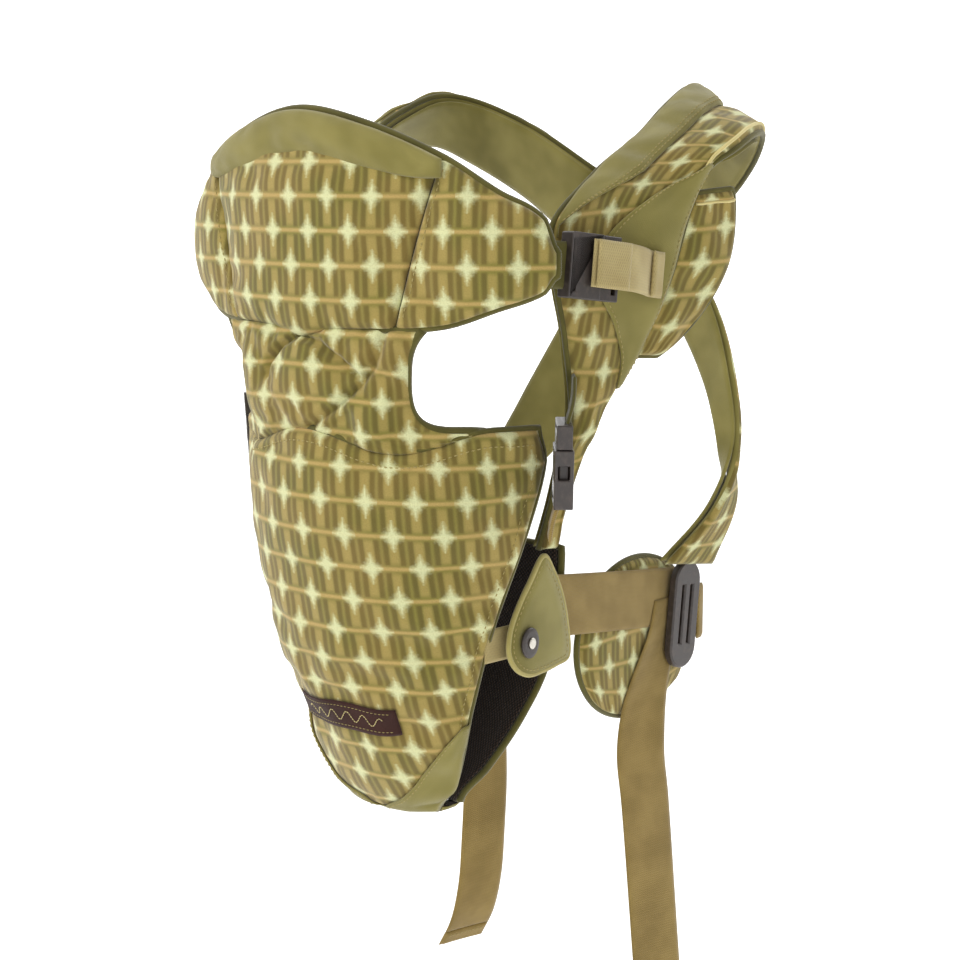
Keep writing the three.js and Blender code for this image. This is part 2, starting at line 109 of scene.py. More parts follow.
SIDES = (("left", 1.0), ("right", -1.0))


def to_frame(p):
    return (np.asarray(p, float) - SHOULDER_REST) * MM


def here(x, y, z):
    return Vector(to_frame((x, y, z)))


# ---------- camera, light and floor ----------

AZIMUTH, ELEVATION = math.radians(40), math.radians(9)
DISTANCE = 1.25


def set_camera():
    toward = Vector((math.sin(AZIMUTH) * math.cos(ELEVATION), -math.cos(AZIMUTH) * math.cos(ELEVATION),
                     math.sin(ELEVATION)))
    aim = here(0, 153.5, 196)
    data = bpy.data.cameras.new("camera")
    data.lens = 74
    data.sensor_width = 36
    camera = bpy.data.objects.new("camera", data)
    bpy.context.scene.collection.objects.link(camera)
    camera.location = aim + toward * DISTANCE
    camera.rotation_euler = toward.to_track_quat("Z", "Y").to_euler()
    bpy.context.scene.camera = camera


def add_area(name, place, aim, size, power, tint=(1, 1, 1)):
    """A round soft light at place, turned towards aim."""
    data = bpy.data.lights.new(name, "AREA")
    data.shape = "DISK"
    data.size = size
    data.energy = power
    data.color = tint
    lamp = bpy.data.objects.new(name, data)
    bpy.context.scene.collection.objects.link(lamp)
    lamp.location = place
    lamp.rotation_euler = (Vector(place) - Vector(aim)).to_track_quat("Z", "Y").to_euler()


def set_stage():
    middle = here(0, 150, 230)
    add_area("key", middle + Vector((-0.7, -1.5, 1.5)), middle, 0.8, 27, (1, 0.98, 0.95))
    add_area("fill", middle + Vector((1.7, -0.8, 0.5)), middle, 1.4, 5)
    add_area("rim", middle + Vector((0.6, 1.5, 1.3)), middle, 1.0, 10)
    world = bpy.data.worlds.new("studio")
    world.use_nodes = True
    world.node_tree.nodes["Background"].inputs[0].default_value = (1, 1, 1, 1)
    world.node_tree.nodes["Background"].inputs[1].default_value = 0.5
    bpy.context.scene.world = world
    bpy.context.scene.view_settings.view_transform = "Standard"
    low = here(0, 0, -222).z
    add_stage("floor", [(-5, -5, low), (5, -5, low), (5, 5, low), (-5, 5, low)], 0.42)
    away = Vector((-math.sin(AZIMUTH), math.cos(AZIMUTH), 0))
    side = Vector((away.y, -away.x, 0))
    wall = [away * 3 + side * x + Vector((0, 0, z)) for x, z in ((-6, low), (6, low), (6, 4), (-6, 4))]
    add_stage("backdrop", wall, 0.95)


def add_stage(name, corners, glow):
    """A pale flat surface that glows a little, as the floor or the wall behind."""
    mesh = bpy.data.meshes.new(name)
    mesh.from_pydata([tuple(c) for c in corners], [], [(0, 1, 2, 3)])
    surface = bpy.data.objects.new(name, mesh)
    bpy.context.scene.collection.objects.link(surface)
    material = bpy.data.materials.new(name)
    material.use_nodes = True
    shader = material.node_tree.nodes["Principled BSDF"]
    shader.inputs["Base Color"].default_value = (0.9, 0.9, 0.9, 1)
    shader.inputs["Roughness"].default_value = 0.9
    shader.inputs["Emission Color"].default_value = (1, 1, 1, 1)
    shader.inputs["Emission Strength"].default_value = glow
    mesh.materials.append(material)


# ---------- materials ----------

def linear(r, g, b):
    """A colour given in 8-bit sRGB, as the shader takes it."""
    def one(c):
        c = c / 255
        return c / 12.92 if c <= 0.04045 else ((c + 0.055) / 1.055) ** 2.4
    return (one(r), one(g), one(b), 1.0)


class Graph:
    """A small helper that wires one material's nodes."""

    def __init__(self, name):
        self.material = bpy.data.materials.new(name)
        self.material.use_nodes = True
        self.tree = self.material.node_tree
        self.shader = self.tree.nodes["Principled BSDF"]
        self.uv = self.tree.nodes.new("ShaderNodeUVMap")
        self.uv.uv_map = "UVMap"
        split = self.tree.nodes.new("ShaderNodeSeparateXYZ")
        self.join(self.uv.outputs[0], split.inputs[0])
        self.u, self.v = split.outputs[0], split.outputs[1]

    def join(self, a, b):
        self.tree.links.new(a, b)

    def feed(self, socket, value):
        if isinstance(value, (int, float)):
            socket.default_value = value
        else:
            self.join(value, socket)

    def math(self, operation, a, b=0.0):
        node = self.tree.nodes.new("ShaderNodeMath")
        node.operation = operation
        self.feed(node.inputs[0], a)
        self.feed(node.inputs[1], b)
        return node.outputs[0]

    def plus(self, a, b):
        return self.math("ADD", a, b)

    def minus(self, a, b):
        return self.math("SUBTRACT", a, b)

    def times(self, a, b):
        return self.math("MULTIPLY", a, b)

    def ramp(self, value, low, high, smooth=True):
        node = self.tree.nodes.new("ShaderNodeMapRange")
        node.interpolation_type = "SMOOTHSTEP" if smooth else "LINEAR"
        self.feed(node.inputs["Value"], value)
        node.inputs["From Min"].default_value = low
        node.inputs["From Max"].default_value = high
        return node.outputs[0]

    def noise(self, scale, detail=3.0, rough=0.55):
        node = self.tree.nodes.new("ShaderNodeTexNoise")
        node.inputs["Scale"].default_value = scale
        node.inputs["Detail"].default_value = detail
        node.inputs["Roughness"].default_value = rough
        self.join(self.uv.outputs[0], node.inputs["Vector"])
        return node.outputs["Fac"]

    def mix(self, factor, a, b):
        node = self.tree.nodes.new("ShaderNodeMix")
        node.data_type = "RGBA"
        self.feed(node.inputs[0], factor)
        for socket, value in ((node.inputs[6], a), (node.inputs[7], b)):
            if isinstance(value, tuple):
                socket.default_value = value
            else:
                self.join(value, socket)
        return node.outputs[2]

    def bump(self, height, strength, distance):
        node = self.tree.nodes.new("ShaderNodeBump")
        node.inputs["Strength"].default_value = strength
        node.inputs["Distance"].default_value = distance
        self.join(height, node.inputs["Height"])
        self.join(node.outputs[0], self.shader.inputs["Normal"])

    def weave(self, pitch):
        """Plain weave, one thread every pitch mm, from the cloth's own coordinates in mm."""
        turn = 2 * math.pi / pitch
        warp = self.math("SINE", self.times(self.u, turn))
        weft = self.math("SINE", self.times(self.v, turn))
        return self.times(warp, weft)

    def finish(self, colour, roughness, sheen=0.25):
        self.join(colour, self.shader.inputs["Base Color"])
        self.feed(self.shader.inputs["Roughness"], roughness)
        self.shader.inputs["Sheen Weight"].default_value = sheen
        self.shader.inputs["Sheen Roughness"].default_value = 0.5
        self.shader.inputs["Specular IOR Level"].default_value = 0.25
        return self.material


COLUMN, ROW = 12.9, 18.8       # the print's column and row pitch, mm


def print_cloth():
    """Soft stars on every other crossing of a woven grid, over columns of darker patches."""
    g = Graph("printed_cotton")
    s = g.math("DIVIDE", g.u, COLUMN)
    t = g.math("DIVIDE", g.v, ROW)
    i = g.math("ROUND", s)
    j = g.math("ROUND", t)
    dx = g.times(g.math("ABSOLUTE", g.minus(s, i)), COLUMN)
    dy = g.times(g.math("ABSOLUTE", g.minus(t, j)), ROW)
    odd = g.math("ABSOLUTE", g.math("MODULO", g.plus(i, j), 2.0))
    blur = g.times(g.minus(g.noise(0.5, 4.0, 0.7), 0.5), 0.7)
    arm = g.math("POWER", g.math("DIVIDE", dx, 8.6), 0.6)
    point = g.math("POWER", g.math("DIVIDE", dy, 11.5), 0.6)
    star = g.ramp(g.plus(g.plus(arm, point), blur), 1.22, 0.52)
    star = g.times(star, g.minus(1.0, odd))
    line = g.ramp(dy, 1.7, 0.3)
    bar = g.times(g.ramp(dx, 3.6, 1.0), g.ramp(dy, 1.8, 4.6))
    shade = g.times(g.ramp(dx, 1.8, 3.4), g.ramp(dx, 6.6, 4.6))
    shade = g.times(shade, g.ramp(dy, 1.2, 3.0))
    patch = g.noise(0.022, 2.0)
    base = g.mix(g.ramp(patch, 0.35, 0.65), linear(146, 130, 68), linear(130, 122, 54))
    dark = g.mix(g.ramp(patch, 0.35, 0.65), linear(114, 95, 42), linear(98, 88, 36))
    colour = g.mix(g.times(shade, 0.9), base, dark)
    colour = g.mix(g.times(bar, 0.62), colour, linear(172, 150, 84))
    colour = g.mix(g.times(line, 0.75), colour, linear(192, 162, 98))
    colour = g.mix(g.times(star, 0.86), colour, linear(218, 222, 172))
    speckle = g.ramp(g.noise(1.3, 3.0, 0.7), 0.4, 0.75)
    colour = g.mix(g.times(speckle, 0.3), colour, linear(96, 84, 36))
    height = g.plus(g.times(g.weave(0.9), 0.35), g.noise(0.35, 4.0))
    g.bump(height, 0.28, 0.0006)
    return g.finish(colour, 0.86)


def plain_cloth(name, light, dark, pitch=0.8, sheen=0.3):
    g = Graph(name)
    broad = g.times(g.noise(0.03, 2.0), 0.8)
    blend = g.plus(broad, g.times(g.noise(2.2, 2.0), 0.2))
    colour = g.mix(g.ramp(blend, 0.3, 0.7), dark, light)
    height = g.plus(g.times(g.weave(pitch), 0.4), g.noise(0.3, 4.0))
    g.bump(height, 0.3, 0.0006)
    return g.finish(colour, 0.88, sheen)


def mesh_lining():
    g = Graph("dark_lining")
    knit = g.ramp(g.weave(2.6), -0.2, 0.7)
    # dark brown knit, with painted shade taking its hollows, where the bump sinks, to near black
    colour = g.mix(knit, linear(22, 15, 10), linear(66, 50, 36))
    g.bump(knit, 0.5, 0.0008)
    return g.finish(colour, 0.8, 0.15)


def webbing_cloth(name, light, dark):
    """Woven strap: ribs run along u, and fine picks cross them."""
    g = Graph(name)
    ribs = g.math("SINE", g.times(g.v, 2 * math.pi / 3.1))
    picks = g.math("SINE", g.times(g.u, 2 * math.pi / 1.1))
    herring = g.times(ribs, picks)
    fade = g.noise(0.04, 2.0)
    colour = g.mix(g.ramp(fade, 0.3, 0.7), dark, light)
    # painted shade: where the weave sinks (herring low) the webbing is darkened towards dark brown
    colour = g.mix(g.times(g.ramp(herring, 0.2, -0.9), 0.3), colour, linear(70, 54, 22))
    g.bump(g.plus(g.times(herring, 0.6), g.noise(0.8, 3.0)), 0.35, 0.0006)
    return g.finish(colour, 0.75, 0.2)


def moulded_plastic():
    g = Graph("moulded_plastic")
    wear = g.noise(0.2, 5.0)
    colour = g.mix(g.ramp(wear, 0.4, 0.8), linear(48, 40, 36), linear(74, 64, 58))
    g.bump(g.noise(3.0, 2.0), 0.08, 0.0003)
    g.join(g.ramp(wear, -0.6, 1.6, False), g.shader.inputs["Roughness"])
    g.join(colour, g.shader.inputs["Base Color"])
    g.shader.inputs["Specular IOR Level"].default_value = 0.6
    g.shader.inputs["Coat Weight"].default_value = 0.25
    return g.material


def plated_metal():
    g = Graph("plated_metal")
    colour = g.mix(g.noise(1.0, 4.0), linear(196, 192, 182), linear(232, 228, 218))
    g.join(colour, g.shader.inputs["Base Color"])
    g.shader.inputs["Metallic"].default_value = 1.0
    g.join(g.ramp(g.noise(2.0, 3.0), -1.0, 3.0, False), g.shader.inputs["Roughness"])
    return g.material


MATERIALS = {
    "print": print_cloth(),
    "plain": plain_cloth("olive_cotton", linear(142, 133, 72), linear(118, 110, 52)),
    "shade": plain_cloth("olive_binding", linear(98, 92, 38), linear(76, 72, 28)),
    "pale": plain_cloth("pale_piping", linear(226, 212, 150), linear(206, 190, 124)),
    "edge": plain_cloth("light_edging", linear(176, 164, 100), linear(156, 144, 82)),
    "lining": mesh_lining(),
    "label": plain_cloth("label_cloth", linear(58, 28, 20), linear(44, 20, 14), 0.5, 0.1),
    "web": webbing_cloth("waist_webbing", linear(150, 127, 70), linear(132, 110, 56)),
    "beige": webbing_cloth("light_webbing", linear(186, 170, 118), linear(168, 150, 98)),
    "thread": plain_cloth("thread", linear(176, 160, 96), linear(150, 134, 76), 0.4),
    "plastic": moulded_plastic(),
    "metal": plated_metal(),
}


# ---------- numbers, curves and surfaces ----------

def along(xs, ys, x):
    """Smooth interpolation through the points, level at both ends."""
    if x <= xs[0]:
        return ys[0]
    last = len(xs) - 1
    if x >= xs[last]:
        return ys[last]
    i = 0
    while x > xs[i + 1]:
        i += 1
    h = xs[i + 1] - xs[i]
    t = (x - xs[i]) / h

    def slope(k):
        return 0 if k in (0, last) else (ys[k + 1] - ys[k - 1]) / (xs[k + 1] - xs[k - 1])

    a = t * t * (3 - 2 * t)
    curl = t * (1 - t) ** 2 * slope(i) - t * t * (1 - t) * slope(i + 1)
    return ys[i] * (1 - a) + ys[i + 1] * a + curl * h


def mix(a, b, t):
    return a + (b - a) * t


def step(x, low, high):
    t = min(max((x - low) / (high - low), 0), 1)
    return t * t * (3 - 2 * t)


def flip(points):
    return [[-x, y, z] for x, y, z in points]


class Curve:
    """Centripetal Catmull-Rom curve through its points, with t from 0 to 1."""

    def __init__(self, points):
        p = [np.array(q, float) for q in points]
        self.p = [2 * p[0] - p[1], *p, 2 * p[-1] - p[-2]]
        self.n = len(points) - 1

    def __call__(self, t):
        at = min(max(t, 0), 1) * self.n
        i = min(int(at), self.n - 1)
        w = at - i
        p0, p1, p2, p3 = self.p[i:i + 4]
        d0, d1, d2 = (max(np.sum((b - a) ** 2) ** 0.25, 1e-6) for a, b in ((p0, p1), (p1, p2), (p2, p3)))
        m1 = ((p1 - p0) / d0 - (p2 - p0) / (d0 + d1) + (p2 - p1) / d1) * d1
        m2 = ((p2 - p1) / d1 - (p3 - p1) / (d1 + d2) + (p3 - p2) / d2) * d1
        return (p1 * (1 - 3 * w * w + 2 * w ** 3) + p2 * (3 * w * w - 2 * w ** 3)
                + m1 * (w - 2 * w * w + w ** 3) + m2 * (w ** 3 - w * w))


def strap(neck, arm):
    inner, outer = Curve(neck), Curve(arm)
    return lambda a, b: inner(a) * (1 - b) + outer(a) * b


def panel_point(u, z):
    r = along(PANEL_Z, PANEL_R, z)
    phi = u / r
    return np.array([r * math.sin(phi), along(PANEL_Z, PANEL_Y, z) + r * (1 - math.cos(phi)), z])


def on_panel(place):
    """The surface whose place(a, b) is (distance round the panel, height)."""
    return lambda a, b: panel_point(*place(a, b))


def top_edge(share):
    """Height of the pouch's top edge, which dips between its middle and its corners."""
    return POUCH_Z[-1] - 12 * math.sin(math.pi * min(abs(share) / 0.8, 1)) ** 2


def pouch_place(a, b):
    """Where share a across and b up lies on the pouch, as (distance round it, height)."""
    share = 2 * a - 1
    level = mix(POUCH_Z[0], POUCH_Z[-1], b)
    return share * along(POUCH_Z, POUCH_HALF, level), mix(POUCH_Z[0], top_edge(share), b)


def pouch_top(u):
    return top_edge(u / POUCH_HALF[-1])


def quilt_place(a, b):
    half = 64 + 14 * b ** 5 + 44 * (1 - b) ** 7
    u = (2 * a - 1) * half
    return u, mix(pouch_top(u) - 1.5, 304, b)


def head_place(u, b):
    size = abs(u)
    low = along(HEAD_U, HEAD_LOW, size) - 5 * math.exp(-(u / 16) ** 2)
    return u, mix(low, along(HEAD_U, HEAD_TOP, size), b)


# ---------- cloth pieces ----------

def link(name, mesh):
    """A new smooth-shaded object in the scene."""
    obj = bpy.data.objects.new(name, mesh)
    bpy.context.scene.collection.objects.link(obj)
    mesh.polygons.foreach_set("use_smooth", [True] * len(mesh.polygons))
    return obj


def face_out(mesh):
    """Turns every face of a closed mesh outwards."""
    work = bmesh.new()
    work.from_mesh(mesh)
    bmesh.ops.recalc_face_normals(work, faces=work.faces)
    work.to_mesh(mesh)
    work.free()


def unit(v, least=TINY):
    return v / max(np.linalg.norm(v), least)


def spaced(n, rim):
    """n + 1 shares from 0 to 1, closer together near both ends."""
    even = np.linspace(0, 1, n + 1)
    return (1 - rim) * even + rim * (0.5 - 0.5 * np.cos(math.pi * even))


def normal_at(surface, a, b):
    """The point of surface(a, b) and its unit normal there."""
    e = 2e-3
    p = surface(a, b)
    da = surface(min(a + e, 1), b) - surface(max(a - e, 0), b)
    db = surface(a, min(b + e, 1)) - surface(a, max(b - e, 0))
    n = np.cross(da, db)
    return p, unit(n)


class Cloth:
    """A padded closed sheet on surface(a, b). Its face is `lift` to `lift + thick` above the surface,
    rounded at the rim, and its own coordinates in mm become the UV map. The materials are those of its
    outer and inner face, or one for both."""

    def __init__(self, name, surface, size, materials, *, nu=40, nv=40, lift=0.0, thick=PAD, rim=0.35,
                 round_mm=None, crown=0.0, groove=None, wrinkle=0.0, seed=0.0, side=1, uv=None):
        self.surface, self.size, self.side = surface, size, side
        self.lift, self.thick, self.crown = lift, thick, crown
        self.round_mm = round_mm if round_mm is not None else thick * 0.9
        self.groove, self.wrinkle, self.seed = groove, wrinkle, seed
        a_values, b_values = spaced(nu, rim), spaced(nv, rim)
        outer, inner, coords = [], [], []
        for a in a_values:
            for b in b_values:
                p, n = self.base(a, b)
                top, low = self.levels(a, b, p)
                outer.append(to_frame(p + n * top))
                inner.append(to_frame(p + n * low))
                coords.append(uv(a, b) if uv else (a * size[0], b * size[1]))
        self.grid, self.puffed = (a_values, b_values), None
        self.obj = self.mesh(name, outer, inner, coords, nu, nv, materials)

    def base(self, a, b):
        p, n = normal_at(self.surface, a, b)
        return p, n * self.side

    def levels(self, a, b, p):
        """Heights of the outer and the inner face above the surface."""
        rim = min(a, 1 - a) * self.size[0], min(b, 1 - b) * self.size[1]
        full = [math.sqrt(max(1 - (1 - min(d / self.round_mm, 1)) ** 2, 0)) for d in rim]
        swell = full[0] * full[1]
        middle = self.lift + self.thick * 0.45
        dome = self.crown * (16 * a * (1 - a) * b * (1 - b)) ** 0.5
        top = middle + (self.thick * 0.55 + dome) * swell
        low = middle - self.thick * 0.45 * swell
        if self.groove:
            top -= self.groove(a, b) * swell
        if self.wrinkle:
            q = Vector(p) * 0.022 + Vector((self.seed, 0, 0))
            fine = noise.noise(q) + 0.5 * noise.noise(q * 2.3)
            top += self.wrinkle * fine * swell
        if top < low + 0.4:
            top = low + 0.4
        return top, low

    def skin(self, a, b, rise=0.0):
        """A point on the outer face and the normal there, after any puffing."""
        p, n = self.base(a, b)
        if self.puffed is None:
            return p + n * (self.levels(a, b, p)[0] + rise), n
        a_values, b_values = self.grid
        i = min(max(int(np.searchsorted(a_values, a)) - 1, 0), len(a_values) - 2)
        j = min(max(int(np.searchsorted(b_values, b)) - 1, 0), len(b_values) - 2)
        x = (a - a_values[i]) / (a_values[i + 1] - a_values[i])
        y = (b - b_values[j]) / (b_values[j + 1] - b_values[j])
        near = mix(self.puffed[i, j], self.puffed[i + 1, j], x)
        far = mix(self.puffed[i, j + 1], self.puffed[i + 1, j + 1], x)
        return mix(near, far, y) + n * rise, n

    def mesh(self, name, outer, inner, coords, nu, nv, materials):
        w = nv + 1
        half = (nu + 1) * w
        faces, slots, uv_index = [], [], []

        def quad(ids, slot):
            faces.append(ids)
            slots.append(slot)
            uv_index.extend([k % half for k in ids])

        for i in range(nu):
            for j in range(nv):
                k = i * w + j
                quad((k, k + w, k + w + 1, k + 1), 0)
                quad((half + k, half + k + 1, half + k + w + 1, half + k + w), 1)
        for i in range(nu):
            k = i * w
            quad((k, half + k, half + k + w, k + w), 0)
            k = i * w + nv
            quad((k, k + w, half + k + w, half + k), 0)
        for j in range(nv):
            quad((j, j + 1, half + j + 1, half + j), 0)
            k = nu * w + j
            quad((k, half + k, half + k + 1, k + 1), 0)
        mesh = bpy.data.meshes.new(name)
        mesh.from_pydata([tuple(p) for p in outer + inner], [], faces)
        layer = mesh.uv_layers.new(name="UVMap")
        pairs = np.array([coords[k] for k in uv_index], np.float32)
        layer.data.foreach_set("uv", pairs.ravel())
        for key in (materials, materials) if isinstance(materials, str) else materials:
            mesh.materials.append(MATERIALS[key])
        mesh.polygons.foreach_set("material_index", slots)
        face_out(mesh)
        return link(name, mesh)


def puff(cloth, pressure=3.0, spare=0.05, frames=14, most=4.0, sewn=None):
    """Fills a padded piece: its outer cloth, cut a little large, is blown out by the Cloth simulation
    while its rim, its back and the lines sewn through it are held."""
    obj, (a_values, b_values) = cloth.obj, cloth.grid
    mesh, scene = obj.data, bpy.context.scene
    rows, columns = len(a_values), len(b_values)
    half = rows * columns
    held = list(range(half, 2 * half))
    for i, a in enumerate(a_values):
        for j, b in enumerate(b_values):
            edge = i < 2 or j < 2 or i > rows - 3 or j > columns - 3
            if edge or (sewn and sewn(a, b)):
                held.append(i * columns + j)
    before = np.empty(len(mesh.vertices) * 3)
    mesh.vertices.foreach_get("co", before)
    group = obj.vertex_groups.new(name="sewn")
    group.add(held, 1.0, "REPLACE")
    modifier = obj.modifiers.new("cloth", "CLOTH")
    settings = modifier.settings
    settings.quality = 5
    settings.mass = 0.002
    settings.tension_stiffness = settings.compression_stiffness = 6
    settings.shear_stiffness = 2
    settings.bending_stiffness = 0.02
    settings.tension_damping = settings.compression_damping = settings.shear_damping = 8
    settings.air_damping = 3
    settings.vertex_group_mass = "sewn"
    settings.shrink_min = -spare
    settings.use_pressure = True
    settings.uniform_pressure_force = pressure
    settings.effector_weights.gravity = 0
    modifier.collision_settings.use_collision = False
    modifier.collision_settings.use_self_collision = False
    modifier.point_cache.frame_start, modifier.point_cache.frame_end = 1, frames
    for frame_number in range(1, frames + 1):
        scene.frame_set(frame_number)
        shape = obj.evaluated_get(bpy.context.evaluated_depsgraph_get()).data
    after = np.empty(len(before))
    shape.vertices.foreach_get("co", after)
    obj.modifiers.remove(modifier)
    scene.frame_set(1)
    moved = (after - before).reshape(-1, 3)
    far = np.linalg.norm(moved, axis=1)
    if not np.all(np.isfinite(far)):
        return
    limit = np.minimum(1, most * MM / np.maximum(far, TINY))
    moved *= limit[:, None]
    grid = moved[:half].reshape(rows, columns, 3)
    for _ in range(2):
        grid[1:-1, 1:-1] = (2 * grid[1:-1, 1:-1] + grid[:-2, 1:-1] + grid[2:, 1:-1] + grid[1:-1, :-2]
                            + grid[1:-1, 2:]) / 6
    moved[:half] = grid.reshape(-1, 3)
    shaped = before.reshape(-1, 3) + moved
    mesh.vertices.foreach_set("co", shaped.ravel())
    mesh.update()
    cloth.puffed = (shaped[:half] / MM + SHOULDER_REST).reshape(rows, columns, 3)


def tube(name, points, radius, material, closed=False, sides=8, parent=None):
    """A round cord of cloth along points, in design mm."""
    pts = [to_frame(p) for p in points]
    n = len(pts)
    mesh = bpy.data.meshes.new(name)
    verts, coords = [], []
    up = None
    run = 0.0
    for i, p in enumerate(pts):
        before = pts[i - 1] if closed or i else pts[0]
        after = pts[(i + 1) % n] if closed or i < n - 1 else pts[-1]
        t = unit(after - before, 1e-12)
        if up is None:
            up = np.cross(t, [0.31, 0.22, 0.93])
        up = unit(up - t * np.dot(up, t), 1e-12)
        across = np.cross(t, up)
        if i:
            run += np.linalg.norm(p - pts[i - 1]) / MM
        for k in range(sides):
            turn = 2 * math.pi * k / sides
            verts.append(p + (up * math.cos(turn) + across * math.sin(turn)) * radius * MM)
            coords.append((run, k * 2 * math.pi * radius / sides))
    faces = []
    for i in range(n if closed else n - 1):
        for k in range(sides):
            a, b = i * sides + k, i * sides + (k + 1) % sides
            c, d = (b + sides) % (n * sides), (a + sides) % (n * sides)
            faces.append((a, b, c, d))
    if not closed:
        faces.append(tuple(reversed(range(sides))))
        faces.append(tuple(range((n - 1) * sides, n * sides)))
    mesh.from_pydata([tuple(v) for v in verts], [], faces)
    layer = mesh.uv_layers.new(name="UVMap")
    for loop in mesh.loops:
        layer.data[loop.index].uv = coords[loop.vertex_index]
    mesh.materials.append(MATERIALS[material])
    obj = link(name, mesh)
    if parent:
        obj.parent = parent
    return obj


def stitches(name, points, normals, parent, pitch=3.4, length=2.3, radius=0.34, material="thread"):
    """Separate thread stitches laid along a line on the cloth, joined as one mesh."""
    pts = [np.asarray(p, float) for p in points]
    runs = np.concatenate([[0], np.cumsum([np.linalg.norm(b - a) for a, b in zip(pts, pts[1:])])])
    arr, nor = np.array(pts), np.array(normals)

    def at(s):
        p = np.array([np.interp(s, runs, arr[:, k]) for k in range(3)])
        n = np.array([np.interp(s, runs, nor[:, k]) for k in range(3)])
        return p, unit(n)

    verts, faces = [], []
    sides = 6
    s = pitch / 2
    while s + length < runs[-1]:
        for share, size in ((0.0, 0.25), (0.25, 1.0), (0.75, 1.0), (1.0, 0.25)):
            p, n = at(s + share * length)
            q, _ = at(s + share * length + 0.2)
            across = np.cross(unit(q - p), n)
            sink = -radius * 0.9 if size < 1 else radius * 0.1
            for k in range(sides):
                turn = 2 * math.pi * k / sides
                ring = across * math.cos(turn) + n * math.sin(turn) * 0.8
                verts.append(to_frame(p + n * sink + ring * radius * size))
        base = len(verts) - 4 * sides
        for r in range(3):
            for k in range(sides):
                a, b = base + r * sides + k, base + r * sides + (k + 1) % sides
                faces.append((a, b, b + sides, a + sides))
        faces.append(tuple(base + k for k in reversed(range(sides))))
        faces.append(tuple(base + 3 * sides + k for k in range(sides)))
        s += pitch
    mesh = bpy.data.meshes.new(name)
    mesh.from_pydata([tuple(v) for v in verts], [], faces)
    mesh.uv_layers.new(name="UVMap")
    mesh.materials.append(MATERIALS[material])
    obj = link(name, mesh)
    obj.parent = parent
    return obj


def skin_line(cloth, path, rise=0.1, count=90):
    """Points and normals on the cloth's face along path(t) = (a, b)."""
    points, normals = [], []
    for t in np.linspace(0, 1, count):
        a, b = path(t)
        p, n = cloth.skin(min(max(a, 0.001), 0.999), min(max(b, 0.001), 0.999), rise)
        points.append(p)
        normals.append(n)
    return points, normals


def straight(a0, b0, a1, b1):
    """The straight path on a cloth from (a0, b0) to (a1, b1)."""
    return lambda t: (mix(a0, a1, t), mix(b0, b1, t))


def sew(cloth, name, path, count=90, **options):
    """Stitches along path(t) = (a, b) on a cloth's face."""
    points, normals = skin_line(cloth, path, 0.15, count)
    return stitches(name, points, normals, cloth.obj, **options)


def rim_path(surface, level, count=48, side=1):
    """Points round the whole edge of surface(a, b), raised by level along its normal."""
    corners = ((0, 0), (1, 0), (1, 1), (0, 1))
    points = []
    for (a0, b0), (a1, b1) in zip(corners, corners[1:] + corners[:1]):
        for t in np.linspace(0, 1, count, endpoint=False):
            p, n = normal_at(surface, mix(a0, a1, t), mix(b0, b1, t))
            points.append(p + n * level * side)
    return points


def settle(obj, body, slot, *nodes, fill=None):
    """Says what a piece rides on and which CAD nodes it stands for, and hides those nodes; its slot is not
    used.
    """
    if body:
        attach(obj, body)
    if nodes:
        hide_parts(*nodes)


# ---------- the two hanging tails ----------

def tail(side, route, lean):
    """Flat webbing that hangs from a slider along route, turned by lean, and its folded hem."""
    curve = Curve(route)

    def point(a, b, start=0.0, end=1.0):
        s = mix(start, end, a)
        turn = lean * step(s, 0.15, 0.4)
        across = np.array([math.sin(turn), math.cos(turn), 0.0])
        sag = 0.8 * math.sin(8 * s) * (2 * b - 1) ** 2
        return curve(s) + across * (b - 0.5) * WAIST_WEB + np.array([sag, 0, 0])

    last = 0.95
    path = [to_frame(curve(s)) for s in np.linspace(0, last, 60)]
    length = sum(np.linalg.norm(b - a) for a, b in zip(path, path[1:]))
    web = Cloth(f"tail_webbing_{side}", lambda a, b: point(a, b, 0, last), (length / MM, WAIST_WEB),
                "web", nu=90, nv=12, lift=-WEBBING / 2, thick=WEBBING, rim=0.2)
    hem = Cloth(f"tail_fold_{side}", lambda a, b: point(a, b, last, 1), (16, WAIST_WEB), "web",
                nu=8, nv=12, lift=-1.9, thick=3.8, rim=0.3)
    for share in (0.25, 0.75):
        name = f"tail_hem_stitches_{side}_{share:.2f}".replace(".", "_")
        sew(hem, name, straight(share, 0.06, share, 0.94))
    settle(web.obj, f"slider_{side}", "webbing", f"waist_tail_{side}")
    settle(hem.obj, f"slider_{side}", "webbing", f"tail_hem_{side}")
    tuple(path[0])
    [tuple(p) for p in path]


# ---------- the baby panel ----------

